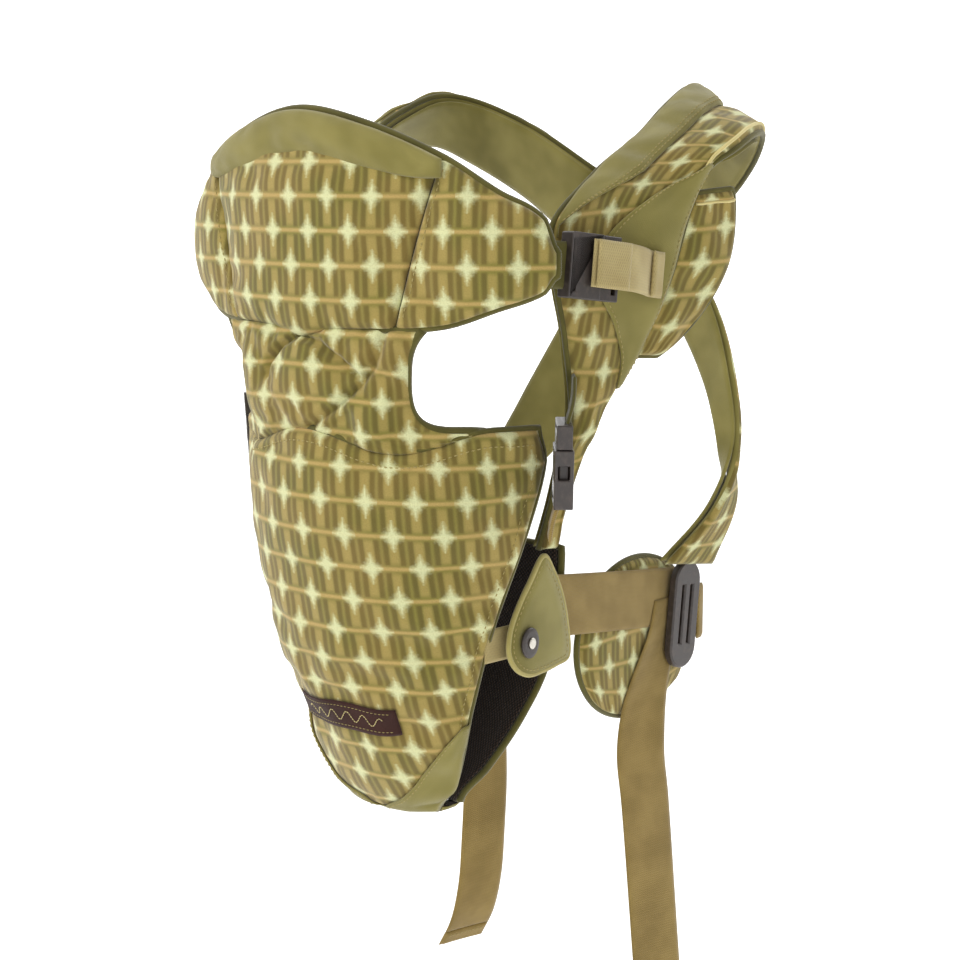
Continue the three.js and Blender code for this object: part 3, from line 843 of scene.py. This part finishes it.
def make_pouch():
    surface = on_panel(pouch_place)
    pouch = Cloth("pouch_panel", surface, (260, 238), ("print", "lining"), nu=72, nv=72, wrinkle=2.6,
                  seed=3.0, crown=1.5, uv=pouch_place)

    def under_label(a, b):
        u, z = pouch_place(a, b)
        return abs(u) < 36 and 65 < z < 85
    puff(pouch, pressure=3.0, spare=0.03, most=3.6, sewn=under_label)
    edge = rim_path(surface, PAD * 0.45)
    tube("pouch_binding", edge, 2.0, "shade", closed=True, parent=pouch.obj)
    sew(pouch, "pouch_top_stitches", straight(0.03, 0.965, 0.97, 0.965), 160)
    for s, k in (("left", 0.965), ("right", 0.035)):
        sew(pouch, f"pouch_edge_stitches_{s}", straight(k, 0.05, k, 0.95), 120)
    settle(pouch.obj, "root", "print_fabric", "pouch_front_panel", fill=0.5)
    inside = Cloth("pouch_inside", surface, (260, 238), "lining", nu=40, nv=30, lift=-2.6,
                   thick=1.6, rim=0.2, uv=pouch_place)
    settle(inside.obj, "root", "lining_fabric", "pouch_lining")

    def on_pouch(u, z):
        """The point on the pouch's outer face at distance u round it and height z."""
        half = along(POUCH_Z, POUCH_HALF, z)
        b = (z - POUCH_Z[0]) / (pouch_top(u) - POUCH_Z[0])
        return pouch.skin(min(max(0.5 + 0.5 * u / half, 0.004), 0.996), min(max(b, 0.004), 0.996))[0]

    for side, k in SIDES:
        def facing(a, b, k=k):
            level = mix(9, 68, b)
            half = along(POUCH_Z, POUCH_HALF, level)
            reach = 30 * (1 - b) ** 0.75 + 2
            return on_pouch(k * mix(half - reach - 1, half - 0.6, a), level)
        patch = Cloth(f"leg_facing_cloth_{side}", facing, (28, 60), "plain", nu=16, nv=30, side=k,
                      lift=0.3, thick=1.5, rim=0.3)
        sew(patch, f"leg_facing_stitches_{side}", straight(0.1, 0.02, 0.1, 0.9), 60)
        settle(patch.obj, "root", "plain_fabric", f"leg_facing_{side}")
    tag = Cloth("woven_label", lambda a, b: on_pouch(mix(-35, 35, a), mix(67, 83, b)), (70, 16),
                "label", nu=30, nv=8, lift=0.4, thick=1.3, rim=0.3)
    for k, b in enumerate((0.16, 0.84)):
        sew(tag, f"label_edge_{k}", straight(0.04, b, 0.96, b), 60, pitch=2.6, length=1.7, radius=0.22)
    wave = lambda t: (mix(0.12, 0.88, t), 0.5 + 0.16 * math.sin(t * 34))
    sew(tag, "label_wave", wave, 200, pitch=1.7, length=1.5, radius=0.26, material="pale")
    settle(tag.obj, "root", "label_fabric", "label")


# Lines quilted into the waist panel, as (distance round it, height)
QUILT_LINES = (
    [(-26, 275), (-23, 283), (-13, 292), (0, 298.5), (14, 302)],
    [(2, 298), (15, 294), (28, 286), (39, 277)],
    [(57, 308), (54, 297), (48, 285), (38, 272), (27, 262), (16, 254), (6, 247)],
)


def line_distance(p, line):
    """Shortest distance from p to a broken line."""
    best = 1e9
    for (x0, y0), (x1, y1) in zip(line, line[1:]):
        dx, dy = x1 - x0, y1 - y0
        t = min(max(((p[0] - x0) * dx + (p[1] - y0) * dy) / (dx * dx + dy * dy), 0), 1)
        best = min(best, math.hypot(p[0] - x0 - t * dx, p[1] - y0 - t * dy))
    return best


def make_quilt():
    def to_seam(a, b):
        return min(line_distance(quilt_place(a, b), line) for line in QUILT_LINES)

    def groove(a, b):
        return 4.6 * math.exp(-(to_seam(a, b) / 2.6) ** 2)
    surface = on_panel(quilt_place)
    quilt = Cloth("quilted_waist", surface, (140, 58), ("print", "lining"), nu=110, nv=64, lift=-0.6,
                  thick=PAD + 1, crown=1.6, groove=groove, wrinkle=1.2, seed=9.0, uv=quilt_place)
    puff(quilt, pressure=5.0, spare=0.05, most=3.6, sewn=lambda a, b: to_seam(a, b) < 1.3)
    for side, a in (("left", 1.0), ("right", 0.0)):
        edge = [panel_point(*quilt_place(a, b)) for b in np.linspace(0, 1, 40)]
        lifted = [p + np.array([0, -3.2, 0]) for p in edge]
        tube(f"armhole_binding_{side}", lifted, 3.0, "shade", parent=quilt.obj)
    settle(quilt.obj, "root", "print_fabric", "waist_quilt_panel", fill=0.7)


# ---------- headrest ----------

HEAD_HALF = HEAD_U[-1]


def seam(b):
    """Distance from the middle to the seam between the headrest and its wings, at share b up."""
    return mix(61, 88, b)


def make_headrest():
    middle = lambda a, b: head_place((2 * a - 1) * (seam(b) - 0.2), b)

    def under_collar(a, b):
        u, z = middle(a, b)
        return z > along(HEAD_U, HEAD_TOP, abs(u)) - 27

    face = Cloth("headrest_middle", on_panel(middle), (160, 120), ("print", "lining"),
                 nu=64, nv=56, crown=2.6, wrinkle=1.6, seed=5.0, uv=middle)
    puff(face, pressure=3.0, spare=0.025, most=3.2, sewn=under_collar)
    settle(face.obj, "headrest", "print_fabric", "headrest_panel", fill=0.7)
    for side, k in SIDES:
        wing = lambda a, b, k=k: head_place(k * mix(seam(b) + 0.2, HEAD_HALF, a), b)
        pad = Cloth(f"headrest_side_{side}", on_panel(wing), (78, 90), ("print", "lining"),
                    nu=44, nv=56, side=k, crown=2.2, wrinkle=1.8, seed=6.0 + k, uv=wing)
        puff(pad, pressure=3.0, spare=0.025, most=3.0)
        settle(pad.obj, "headrest", "print_fabric", f"headrest_wing_{side}", fill=0.7)
        sew(pad, f"seam_stitches_{side}", straight(0.05, 0.05, 0.05, 0.95), 80)
    around, ends = np.linspace(-HEAD_HALF, HEAD_HALF, 120), np.linspace(0, 1, 16)[1:-1]
    places = [(u, 1) for u in around] + [(HEAD_HALF, b) for b in reversed(ends)]
    places += [(u, 0) for u in reversed(around)] + [(-HEAD_HALF, b) for b in ends]
    outward = []
    for u, b in places:
        p = panel_point(*head_place(u, b))
        phi = math.asin(max(min(p[0] / PANEL_R[-1], 1), -1))
        outward.append(p + np.array([math.sin(phi), -math.cos(phi), 0]) * PAD * 0.42)
    edge = tube("headrest_binding", outward, 2.3, "shade", closed=True, sides=10)
    settle(edge, "headrest", "plain_fabric")
    back = lambda a, b: head_place((2 * a - 1) * 147, mix(0.02, 0.98, b))
    inside = Cloth("headrest_inside", on_panel(back), (290, 118), "lining",
                   nu=50, nv=24, lift=-2.6, thick=1.6, rim=0.2, uv=back)
    settle(inside.obj, "headrest", "lining_fabric", "headrest_lining")

    def roll(a, b):
        u = (2 * a - 1) * 89
        top = along(HEAD_U, HEAD_TOP, abs(u)) - 0.5
        depth = 10 + 14 * (1 - (2 * a - 1) ** 4)
        return panel_point(u, mix(top - depth, top, b))
    collar = Cloth("collar_cushion", roll, (178, 28), "plain", nu=80, nv=24,
                   lift=PAD - 3.5, thick=8, round_mm=9, crown=1.5, wrinkle=0.8, seed=1.0)
    puff(collar, pressure=4.0, spare=0.01, most=2.0)
    settle(collar.obj, "headrest", "plain_fabric", "collar_roll", fill=0.9)
    fold = Cloth("headrest_fold", lambda a, b: panel_point((2 * a - 1) * 66, mix(292, 312, b)), (132, 20),
                 "shade", nu=40, nv=12, lift=0.5, thick=3.5, rim=0.2)
    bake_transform(fold.obj, "root", "headrest", tuple(here(0, 0, 294)), tuple(here(0, 0, 308)))


# ---------- the wearer's side of the pouch ----------

def make_seat():
    def seat(a, b):
        z = mix(12, 165, b)
        x = (2 * a - 1) * along(SEAT_Z, SEAT_HALF, z)
        return np.array([x, along(SEAT_Z, SEAT_Y, z) - (x / 40) ** 2, z])
    back = Cloth("seat_back", seat, (150, 158), ("plain", "lining"), nu=44, nv=48, side=-1, thick=5,
                 wrinkle=1.4, seed=12.0)
    tube("seat_binding", rim_path(seat, 2.4, side=-1), 2.4, "shade", closed=True, parent=back.obj)
    settle(back.obj, "root", "plain_fabric", "seat_panel", fill=0.4)
    lining = Cloth("seat_inside", seat, (150, 158), "lining", nu=40, nv=40, lift=1.0, thick=1.6,
                   wrinkle=0.5, rim=0.2)
    settle(lining.obj, "root", "lining_fabric", "seat_lining")

    def gusset(a, b):
        x = (2 * a - 1) * 39
        return np.array([x, mix(panel_point(x, 8)[1] - 5, 87, b), 11 - 4 * (1 - (2 * a - 1) ** 2)])
    crotch = Cloth("crotch_gusset_cloth", gusset, (76, 22), ("plain", "lining"), nu=30, nv=12, side=-1,
                   thick=4.5)
    settle(crotch.obj, "root", "plain_fabric", "crotch_gusset")


# ---------- side tabs, waist webbing and hip pads ----------

# The tab's outline, in Y and Z
TAB = [[104, 166], [113, 156], [122, 140], [127, 124], [129, 101], [118, 98.5], [104, 97], [90, 97],
       [80, 102], [73.5, 112], [74, 124], [80, 137], [91, 152]]


def loop_outline(points, samples=8):
    """A closed smooth outline through the points."""
    n = len(points)
    curve = Curve([points[i % n] for i in range(-2, n + 3)])
    total = n + 4
    return [curve((2 + n * k / (n * samples)) / total) for k in range(n * samples)]


def plate(name, outline, place, thick, material, bevel=0.7, parent=None):
    """A cloth or plastic plate cut to a 2D outline; place(p, h) puts it in space at height h."""
    n = len(outline)
    middle = np.mean(outline, axis=0)
    inset = [(1 - bevel / 30, 0.0), (1.0, thick * 0.3), (1.0, thick * 0.7), (1 - bevel / 30, thick)]
    shares = [0.35, 0.7]
    rings = [(s, 0.0) for s in shares] + inset + [(s, thick) for s in reversed(shares)]
    verts, flat = [], []
    for share, height in rings:
        for p in outline:
            q = middle + (np.asarray(p) - middle) * share
            verts.append(to_frame(place(q, height)))
            flat.append(tuple(q[:2]))
    low, high = len(verts), len(verts) + 1
    verts += [to_frame(place(middle, 0.0)), to_frame(place(middle, thick))]
    flat += [tuple(middle[:2])] * 2
    faces = []
    for r in range(len(rings) - 1):
        for k in range(n):
            a, b = r * n + k, r * n + (k + 1) % n
            faces.append((a, b, b + n, a + n))
    top = (len(rings) - 1) * n
    for k in range(n):
        faces.append((low, (k + 1) % n, k))
        faces.append((high, top + k, top + (k + 1) % n))
    mesh = bpy.data.meshes.new(name)
    mesh.from_pydata([tuple(v) for v in verts], [], faces)
    face_out(mesh)
    layer = mesh.uv_layers.new(name="UVMap")
    for loop in mesh.loops:
        layer.data[loop.index].uv = flat[loop.vertex_index]
    mesh.materials.append(MATERIALS[material])
    obj = link(name, mesh)
    if parent:
        obj.parent = parent
    return obj


def dress(node, name, material, body, slot, bevel=0.9):
    """A softened copy of a rigid CAD node, with rounded edges, that stands for it."""
    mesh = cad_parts[node].data.copy()
    mesh.name = name
    mesh.materials.clear()
    mesh.materials.append(MATERIALS[material])
    if not mesh.uv_layers:
        mesh.uv_layers.new(name="UVMap")
    layer = mesh.uv_layers[0]
    layer.name = "UVMap"
    for loop in mesh.loops:
        p = mesh.vertices[loop.vertex_index].co / MM
        layer.data[loop.index].uv = (p.x + p.y, p.z)
    obj = bpy.data.objects.new(name, mesh)
    bpy.context.scene.collection.objects.link(obj)
    work = bmesh.new()
    work.from_mesh(mesh)
    bmesh.ops.remove_doubles(work, verts=work.verts, dist=1e-6)
    bmesh.ops.dissolve_limit(work, angle_limit=0.02, verts=work.verts, edges=work.edges)
    work.to_mesh(mesh)
    work.free()
    soft = obj.modifiers.new("rounded_edges", "BEVEL")
    soft.width = bevel * MM
    soft.segments = 3
    soft.limit_method = "ANGLE"
    obj.modifiers.new("even_shading", "WEIGHTED_NORMAL")
    mesh.polygons.foreach_set("use_smooth", [True] * len(mesh.polygons))
    settle(obj, body, slot, node)


def make_side(side, k):
    """One side's tab with its snap, its webbing, the slider and the hip pad."""
    outline = [p[:2] for p in loop_outline([[y, z, 0] for y, z in TAB])]
    bow = lambda y, z: 1.2 * math.sin((y - 73) / 56 * math.pi)
    place = lambda q, h: np.array([k * (TAB_X - 0.2 + h + bow(q[0], q[1])), q[0], q[1]])
    tab = plate(f"tab_cloth_{side}", outline, place, 2.8, "plain")
    settle(tab, f"snap_tab_{side}", "plain_fabric", f"side_tab_{side}")
    centre = np.mean(outline, axis=0)
    hem = [centre + (np.asarray(p) - centre) * 0.9 for p in outline]
    line = [place(p, 2.9) for p in hem]
    stitches(f"tab_stitches_{side}", line + line[:1], [[k, 0, 0]] * (len(line) + 1), tab)
    rim = [place(p, 1.4) for p in outline]
    tube(f"tab_binding_{side}", rim, 1.7, "edge", closed=True, parent=tab)

    def oval(width, height, count):
        turns = np.linspace(0, 2 * math.pi, count)[:-1]
        return [(SNAP[0] + width * math.cos(t), SNAP[1] + height * math.sin(t)) for t in turns]
    base = lambda q, h: np.array([k * (TAB_X + 3.2 + bow(*SNAP) + h), q[0], q[1]])
    cap = plate(f"snap_disc_{side}", oval(7.6, 9.2, 40), base, 2.4, "plastic", bevel=3)
    settle(cap, f"snap_tab_{side}", "dark_plastic", f"snap_cap_{side}")
    plate(f"snap_rivet_{side}", oval(2.9, 3.4, 30), lambda q, h: base(q, h + 2.4), 1.2, "metal", bevel=4,
          parent=cap)
    dress(f"snap_stud_{side}", f"snap_socket_{side}", "metal", "root", "snap_metal", 0.3)

    anchor = lambda a, b: np.array([k * (TAB_X - 4 - 3 * (1 - a)), mix(62, 100, a), mix(107, 127, b)])
    web = Cloth(f"anchor_strap_{side}", anchor, (38, 20), "beige", nu=20, nv=10, side=k, lift=-1.8,
                thick=1.8, rim=0.2)
    settle(web.obj, "root", "light_webbing", f"anchor_webbing_{side}")

    def waist(a, b):
        y = mix(120, 263, a)
        bulge = 1.5 * math.sin(a * math.pi)
        return np.array([k * (83.2 + bulge), y, 131 - (y - 131) * FALL + (b - 0.5) * WAIST_WEB])
    band = Cloth(f"waist_band_{side}", waist, (143, WAIST_WEB), "web", nu=50, nv=14, side=k,
                 thick=WEBBING, rim=0.2)
    settle(band.obj, "root", "webbing", f"waist_webbing_{side}")
    loop = lambda a, b: np.array([k * (89.5 - 2.6 * math.cos(math.pi * a)), 265.5 + 9 * math.sin(math.pi * a),
                                  mix(88, 124, b) - 1.5])
    fold = Cloth(f"slider_fold_{side}", loop, (24, 36), "web", nu=24, nv=12, side=k, thick=WEBBING, rim=0.2)
    settle(fold.obj, f"slider_{side}", "webbing", f"slider_loop_{side}")
    dress(f"waist_slider_{side}", f"slider_frame_{side}", "plastic", f"slider_{side}", "dark_plastic", 1.4)

    def hip(a, b):
        x, y = 2 * a - 1, 2 * b - 1
        u = x * math.sqrt(1 - y * y / 2)
        v = y * math.sqrt(1 - x * x / 2)
        return np.array([k * 74.5, 214 + 61 * u, 96 + 51 * v])
    pad = Cloth(f"hip_cushion_{side}", hip, (122, 102), ("print", "plain"), nu=48, nv=48, side=k, thick=7.5,
                round_mm=9, crown=0.6, wrinkle=0.8, seed=4.0)
    puff(pad, pressure=3.0, spare=0.02, most=2.0)
    tube(f"hip_binding_{side}", rim_path(hip, 3.4, count=24, side=k), 2.0, "shade", closed=True,
         parent=pad.obj)
    settle(pad.obj, f"slider_{side}", "print_fabric", f"hip_pad_{side}", fill=0.7)


# ---------- shoulder and back straps ----------

# The plain inlay and the lobe, as shares of the strap's length, and the inlay's near edge as a share
# of its width
INLAY_SPAN = (0.2, 0.5)
INLAY_A = [0, 0.25, 0.45, 0.6, 0.8, 1]
INLAY_NEAR = [0.84, 0.5, 0.28, 0.3, 0.6, 0.94]
LOBE_SPAN = (0.235, 0.44)

SHOULDERS = {
    "left": (strap(NECK_EDGE, ARM_EDGE), 1.0),
    "right": (strap([*flip(NECK_EDGE[:-2]), [-54, 277, 420], [-6, 287, 390]], FAR_ARM_EDGE), -1.0),
}


def strap_uv(surface, steps=60):
    """Own coordinates of a long strap: length along it and distance across it, in mm."""
    middle = [surface(t, 0.5) for t in np.linspace(0, 1, steps)]
    runs = np.concatenate([[0], np.cumsum([np.linalg.norm(b - a) for a, b in zip(middle, middle[1:])])])

    def uv(a, b):
        width = np.linalg.norm(surface(a, 1) - surface(a, 0))
        return ((b - 0.5) * width, float(np.interp(a, np.linspace(0, 1, steps), runs)))
    return uv, float(runs[-1])


def make_shoulder(side):
    """A padded strap with its neck band, lining, plain inlay, lobe and bindings."""
    surface, face = SHOULDERS[side]
    uv, length = strap_uv(surface)
    band = lambda a: 0.45 * step(a, 0.4, 0.5)

    def under_inlay(a, b):
        share = (a - INLAY_SPAN[0]) / (INLAY_SPAN[1] - INLAY_SPAN[0])
        return 0 < share < 1 and b > along(INLAY_A, INLAY_NEAR, share)
    groove = lambda a, b: 2.6 * math.exp(-((b - band(a)) / 0.03) ** 2) * step(a, 0.44, 0.5)
    pad = Cloth(f"shoulder_strap_{side}", surface, (length, 62), ("print", "plain"), nu=150, nv=40,
                side=-face, lift=-STRAP_PAD, thick=STRAP_PAD, round_mm=6, crown=0.8, groove=groove,
                wrinkle=1.8, seed=7.0 + face, uv=uv)
    puff(pad, pressure=3.0, spare=0.02, most=1.8,
         sewn=lambda a, b: (a > 0.44 and abs(b - band(a)) < 0.03) or under_inlay(a, b))
    for name, b in (("neck", 0.0), ("arm", 1.0)):
        points = []
        for a in np.linspace(0, 1, 120):
            p, n = pad.base(a, b)
            points.append(p - n * STRAP_PAD * 0.55)
        tube(f"strap_binding_{name}_{side}", points, 1.9, "shade", parent=pad.obj)
    pale = [pad.skin(a, 0.955, 0.6)[0] for a in np.linspace(0.46, 0.8, 60)]
    tube(f"strap_piping_{side}", pale, 1.1, "pale", parent=pad.obj)

    def neck(a, b):
        t = mix(0.4, 0.994, a)
        return pad.skin(t, mix(0.02, max(band(t), 0.03), b))[0]
    collar = Cloth(f"strap_neck_band_{side}", neck, (330, 26), "plain", nu=110, nv=12, side=-face,
                   lift=-0.4, thick=2.0, rim=0.3, uv=lambda a, b: (b * 26, a * 330))
    for name, b in (("edge", 0.9), ("inner", 0.8)):
        sew(collar, f"neck_band_stitches_{name}_{side}", straight(0.03, b, 0.97, b), 160)
    settle(collar.obj, "root", "plain_fabric")
    settle(pad.obj, "root", "print_fabric", f"shoulder_pad_{side}", fill=0.6)
    lining = Cloth(f"shoulder_inside_{side}", surface, (length, 62), "plain", nu=100, nv=12,
                   side=-face, lift=-STRAP_PAD - 2.6, thick=1.6, rim=0.2, uv=uv)
    settle(lining.obj, "root", "plain_fabric", f"shoulder_lining_{side}")

    def inlay(a, b):
        near = along(INLAY_A, INLAY_NEAR, a)
        t, across = mix(*INLAY_SPAN, a), mix(near, 0.985, b)
        return pad.skin(t, across)[0]
    cover = Cloth(f"strap_inlay_{side}", inlay, (120, 30), "plain", nu=44, nv=24, side=-face,
                  lift=0.3, thick=1.8, rim=0.3)
    for name, b in (("near", 0.07), ("far", 0.93)):
        sew(cover, f"inlay_stitches_{name}_{side}", straight(0.04, b, 0.96, b), 80)
    settle(cover.obj, "root", "plain_fabric", f"shoulder_inlay_{side}")

    def lobe(a, b):
        t = mix(*LOBE_SPAN, a)
        edge = surface(t, 1)
        across = unit(edge - surface(t, 0.8))
        reach = 6 + 34 * math.sin(math.pi * mix(0.06, 0.86, a)) ** 0.7
        return edge + across * (0.8 + reach * b)
    wing = Cloth(f"strap_lobe_{side}", lobe, (100, 34), ("print", "plain"), nu=44, nv=30, side=-face,
                 lift=-7.5, thick=7.5, crown=1.0, wrinkle=1.6, seed=2.0, uv=lambda a, b: (b * 34, a * 100))
    tube(f"lobe_binding_{side}", rim_path(lobe, -3.9, side=-face, count=30), 1.8, "shade", closed=True,
         parent=wing.obj)
    puff(wing, pressure=4.0, spare=0.03, most=2.6)
    tube(f"lobe_hem_{side}", [wing.skin(0.92, b, 0.3)[0] for b in np.linspace(0.04, 0.96, 24)], 0.8, "pale",
         parent=wing.obj)
    settle(wing.obj, "root", "print_fabric", f"shoulder_lobe_{side}", fill=0.6)


def make_back():
    """The two straps that cross on the wearer's back and run down towards the sliders, and their patch."""
    for side, edges, face in (("left", BACK_LEFT, 1.0), ("right", BACK_RIGHT, -1.0)):
        surface = strap(edges["low"], edges["high"])
        uv, length = strap_uv(surface)
        pad = Cloth(f"back_band_{side}", surface, (length, 34), ("print", "plain"), nu=90, nv=24, side=-face,
                    thick=6, round_mm=5, wrinkle=1.0, seed=8.0, uv=uv)
        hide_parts(f"back_strap_{side}")
        lining = Cloth(f"back_band_inside_{side}", surface, (length, 34), "plain", nu=80, nv=12,
                       side=-face, lift=-3.4, thick=2.4, rim=0.2, uv=uv)
        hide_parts(f"back_strap_lining_{side}")
        knee, foot = (mix(np.array(edges["low"][i], float), np.array(edges["high"][i], float), 0.5)
                      for i in (-3, -1))
        for obj in (pad.obj, lining.obj):
            tuple(to_frame(knee))
            tuple(to_frame(foot))
            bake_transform(obj)

    def crossing(a, b):
        return np.array([16 + mix(-37, 37, a), 312, 356 + mix(-31, 31, b)])
    patch = Cloth("cross_patch_cloth", crossing, (74, 62), "plain", nu=30, nv=30, side=-1,
                  thick=6.4, round_mm=2.5)
    lines = ((0.08, 0.08, 0.92, 0.08), (0.08, 0.92, 0.92, 0.92), (0.08, 0.08, 0.08, 0.92),
             (0.92, 0.08, 0.92, 0.92), (0.1, 0.1, 0.9, 0.9), (0.1, 0.9, 0.9, 0.1))
    for k, line in enumerate(lines):
        sew(patch, f"cross_patch_stitches_{k}", straight(*line), 50)
    settle(patch.obj, "root", "plain_fabric", "back_cross_patch")


# ---------- buckles ----------

def strip_between(name, start, end, width, across, material, bow=0.0):
    """A short run of webbing from start to end, bowed out by bow in its middle."""
    thick = 2.2
    start, end, across = (np.array(v, float) for v in (start, end, across))
    across = unit(across)
    normal = unit(np.cross(end - start, across))

    def surface(a, b):
        return mix(start, end, a) + across * (b - 0.5) * width + normal * bow * math.sin(math.pi * a)
    size = (float(np.linalg.norm(end - start)), width)
    return Cloth(name, surface, size, material, nu=24, nv=10, lift=-thick / 2, thick=thick,
                 rim=0.25)


# The headrest's webbing, from over its clip to where it is sewn on the strap
TAPE = [[147.6, 73, 340.5], [149.6, 84, 339], [151.6, 96, 337.5], [152, 107, 336], [149.5, 119, 334],
        [145.8, 130, 332], [144.6, 142, 330.5]]


def make_buckles(side, k):
    """One side's two buckles and the webbing sewn to them."""
    for place, parent in (("side", "root"), ("headrest", "headrest")):
        dress(f"{place}_buckle_socket_{side}", f"{place}_catch_{side}", "plastic", parent,
              "dark_plastic", 1.6)
        dress(f"{place}_buckle_clip_{side}", f"{place}_prongs_{side}", "plastic", f"{place}_clip_{side}",
              "dark_plastic", 1.0)
    up = [0, 0.12, 1]
    level = [0.643 * k, -0.766, 0]
    route = Curve([[k * x, y, z] for x, y, z in TAPE])

    def ribbon(start, end, raise_by):
        def surface(a, b):
            p = route(mix(start, end, a))
            return p + np.array([k * raise_by, 0.12 * (b - 0.5) * HEAD_TAPE, (b - 0.5) * HEAD_TAPE])
        return surface
    tape = Cloth(f"headrest_tape_{side}", ribbon(0, 1, 0), (60, HEAD_TAPE), "beige", nu=50,
                 nv=12, side=k, lift=-1, thick=2, rim=0.2)
    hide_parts(f"headrest_buckle_webbing_{side}")
    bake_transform(tape.obj, "headrest", "root", tuple(here(k * 150, 98, 336)), tuple(here(k * 146, 126, 332)))
    fold = Cloth(f"headrest_tape_fold_{side}", ribbon(0.8, 0.97, 2), (12, 27), "beige", nu=14, nv=12,
                 side=k, lift=-1, thick=3.4, rim=0.3)
    settle(fold.obj, "root", "light_webbing")
    keeper = Cloth(f"headrest_tape_keeper_{side}", ribbon(0.02, 0.38, 2.2), (18, HEAD_TAPE),
                   "beige", nu=14, nv=12, side=k, lift=-1, thick=2.4, rim=0.3)
    settle(keeper.obj, "headrest", "light_webbing")
    root_tab = strip_between(f"headrest_root_tape_{side}", [k * 134, 50, 340], [k * 138.6, 64, 339],
                             HEAD_TAPE, up, "shade")
    settle(root_tab.obj, "headrest", "plain_fabric")
    low = strip_between(f"side_tape_{side}", [k * 118.3, 82.4, 205], [k * 114, 79, 182], SIDE_TAPE, level,
                        "web", 1.0)
    settle(low.obj, "root", "webbing", f"side_buckle_webbing_{side}")
    high = strip_between(f"side_clip_tape_{side}", [k * 121, 84.8, 248], [k * 121, 92, 276], SIDE_TAPE,
                         level, "shade", 1.5 * k)
    settle(high.obj, f"side_clip_{side}", "plain_fabric")


set_camera()
tail("left", TAIL_LEFT, 0.3)
tail("right", TAIL_RIGHT, 0.25)
set_stage()
make_pouch()
make_quilt()
make_headrest()
make_seat()
for side_name, sign in SIDES:
    make_side(side_name, sign)
    make_shoulder(side_name)
    make_buckles(side_name, sign)
make_back()
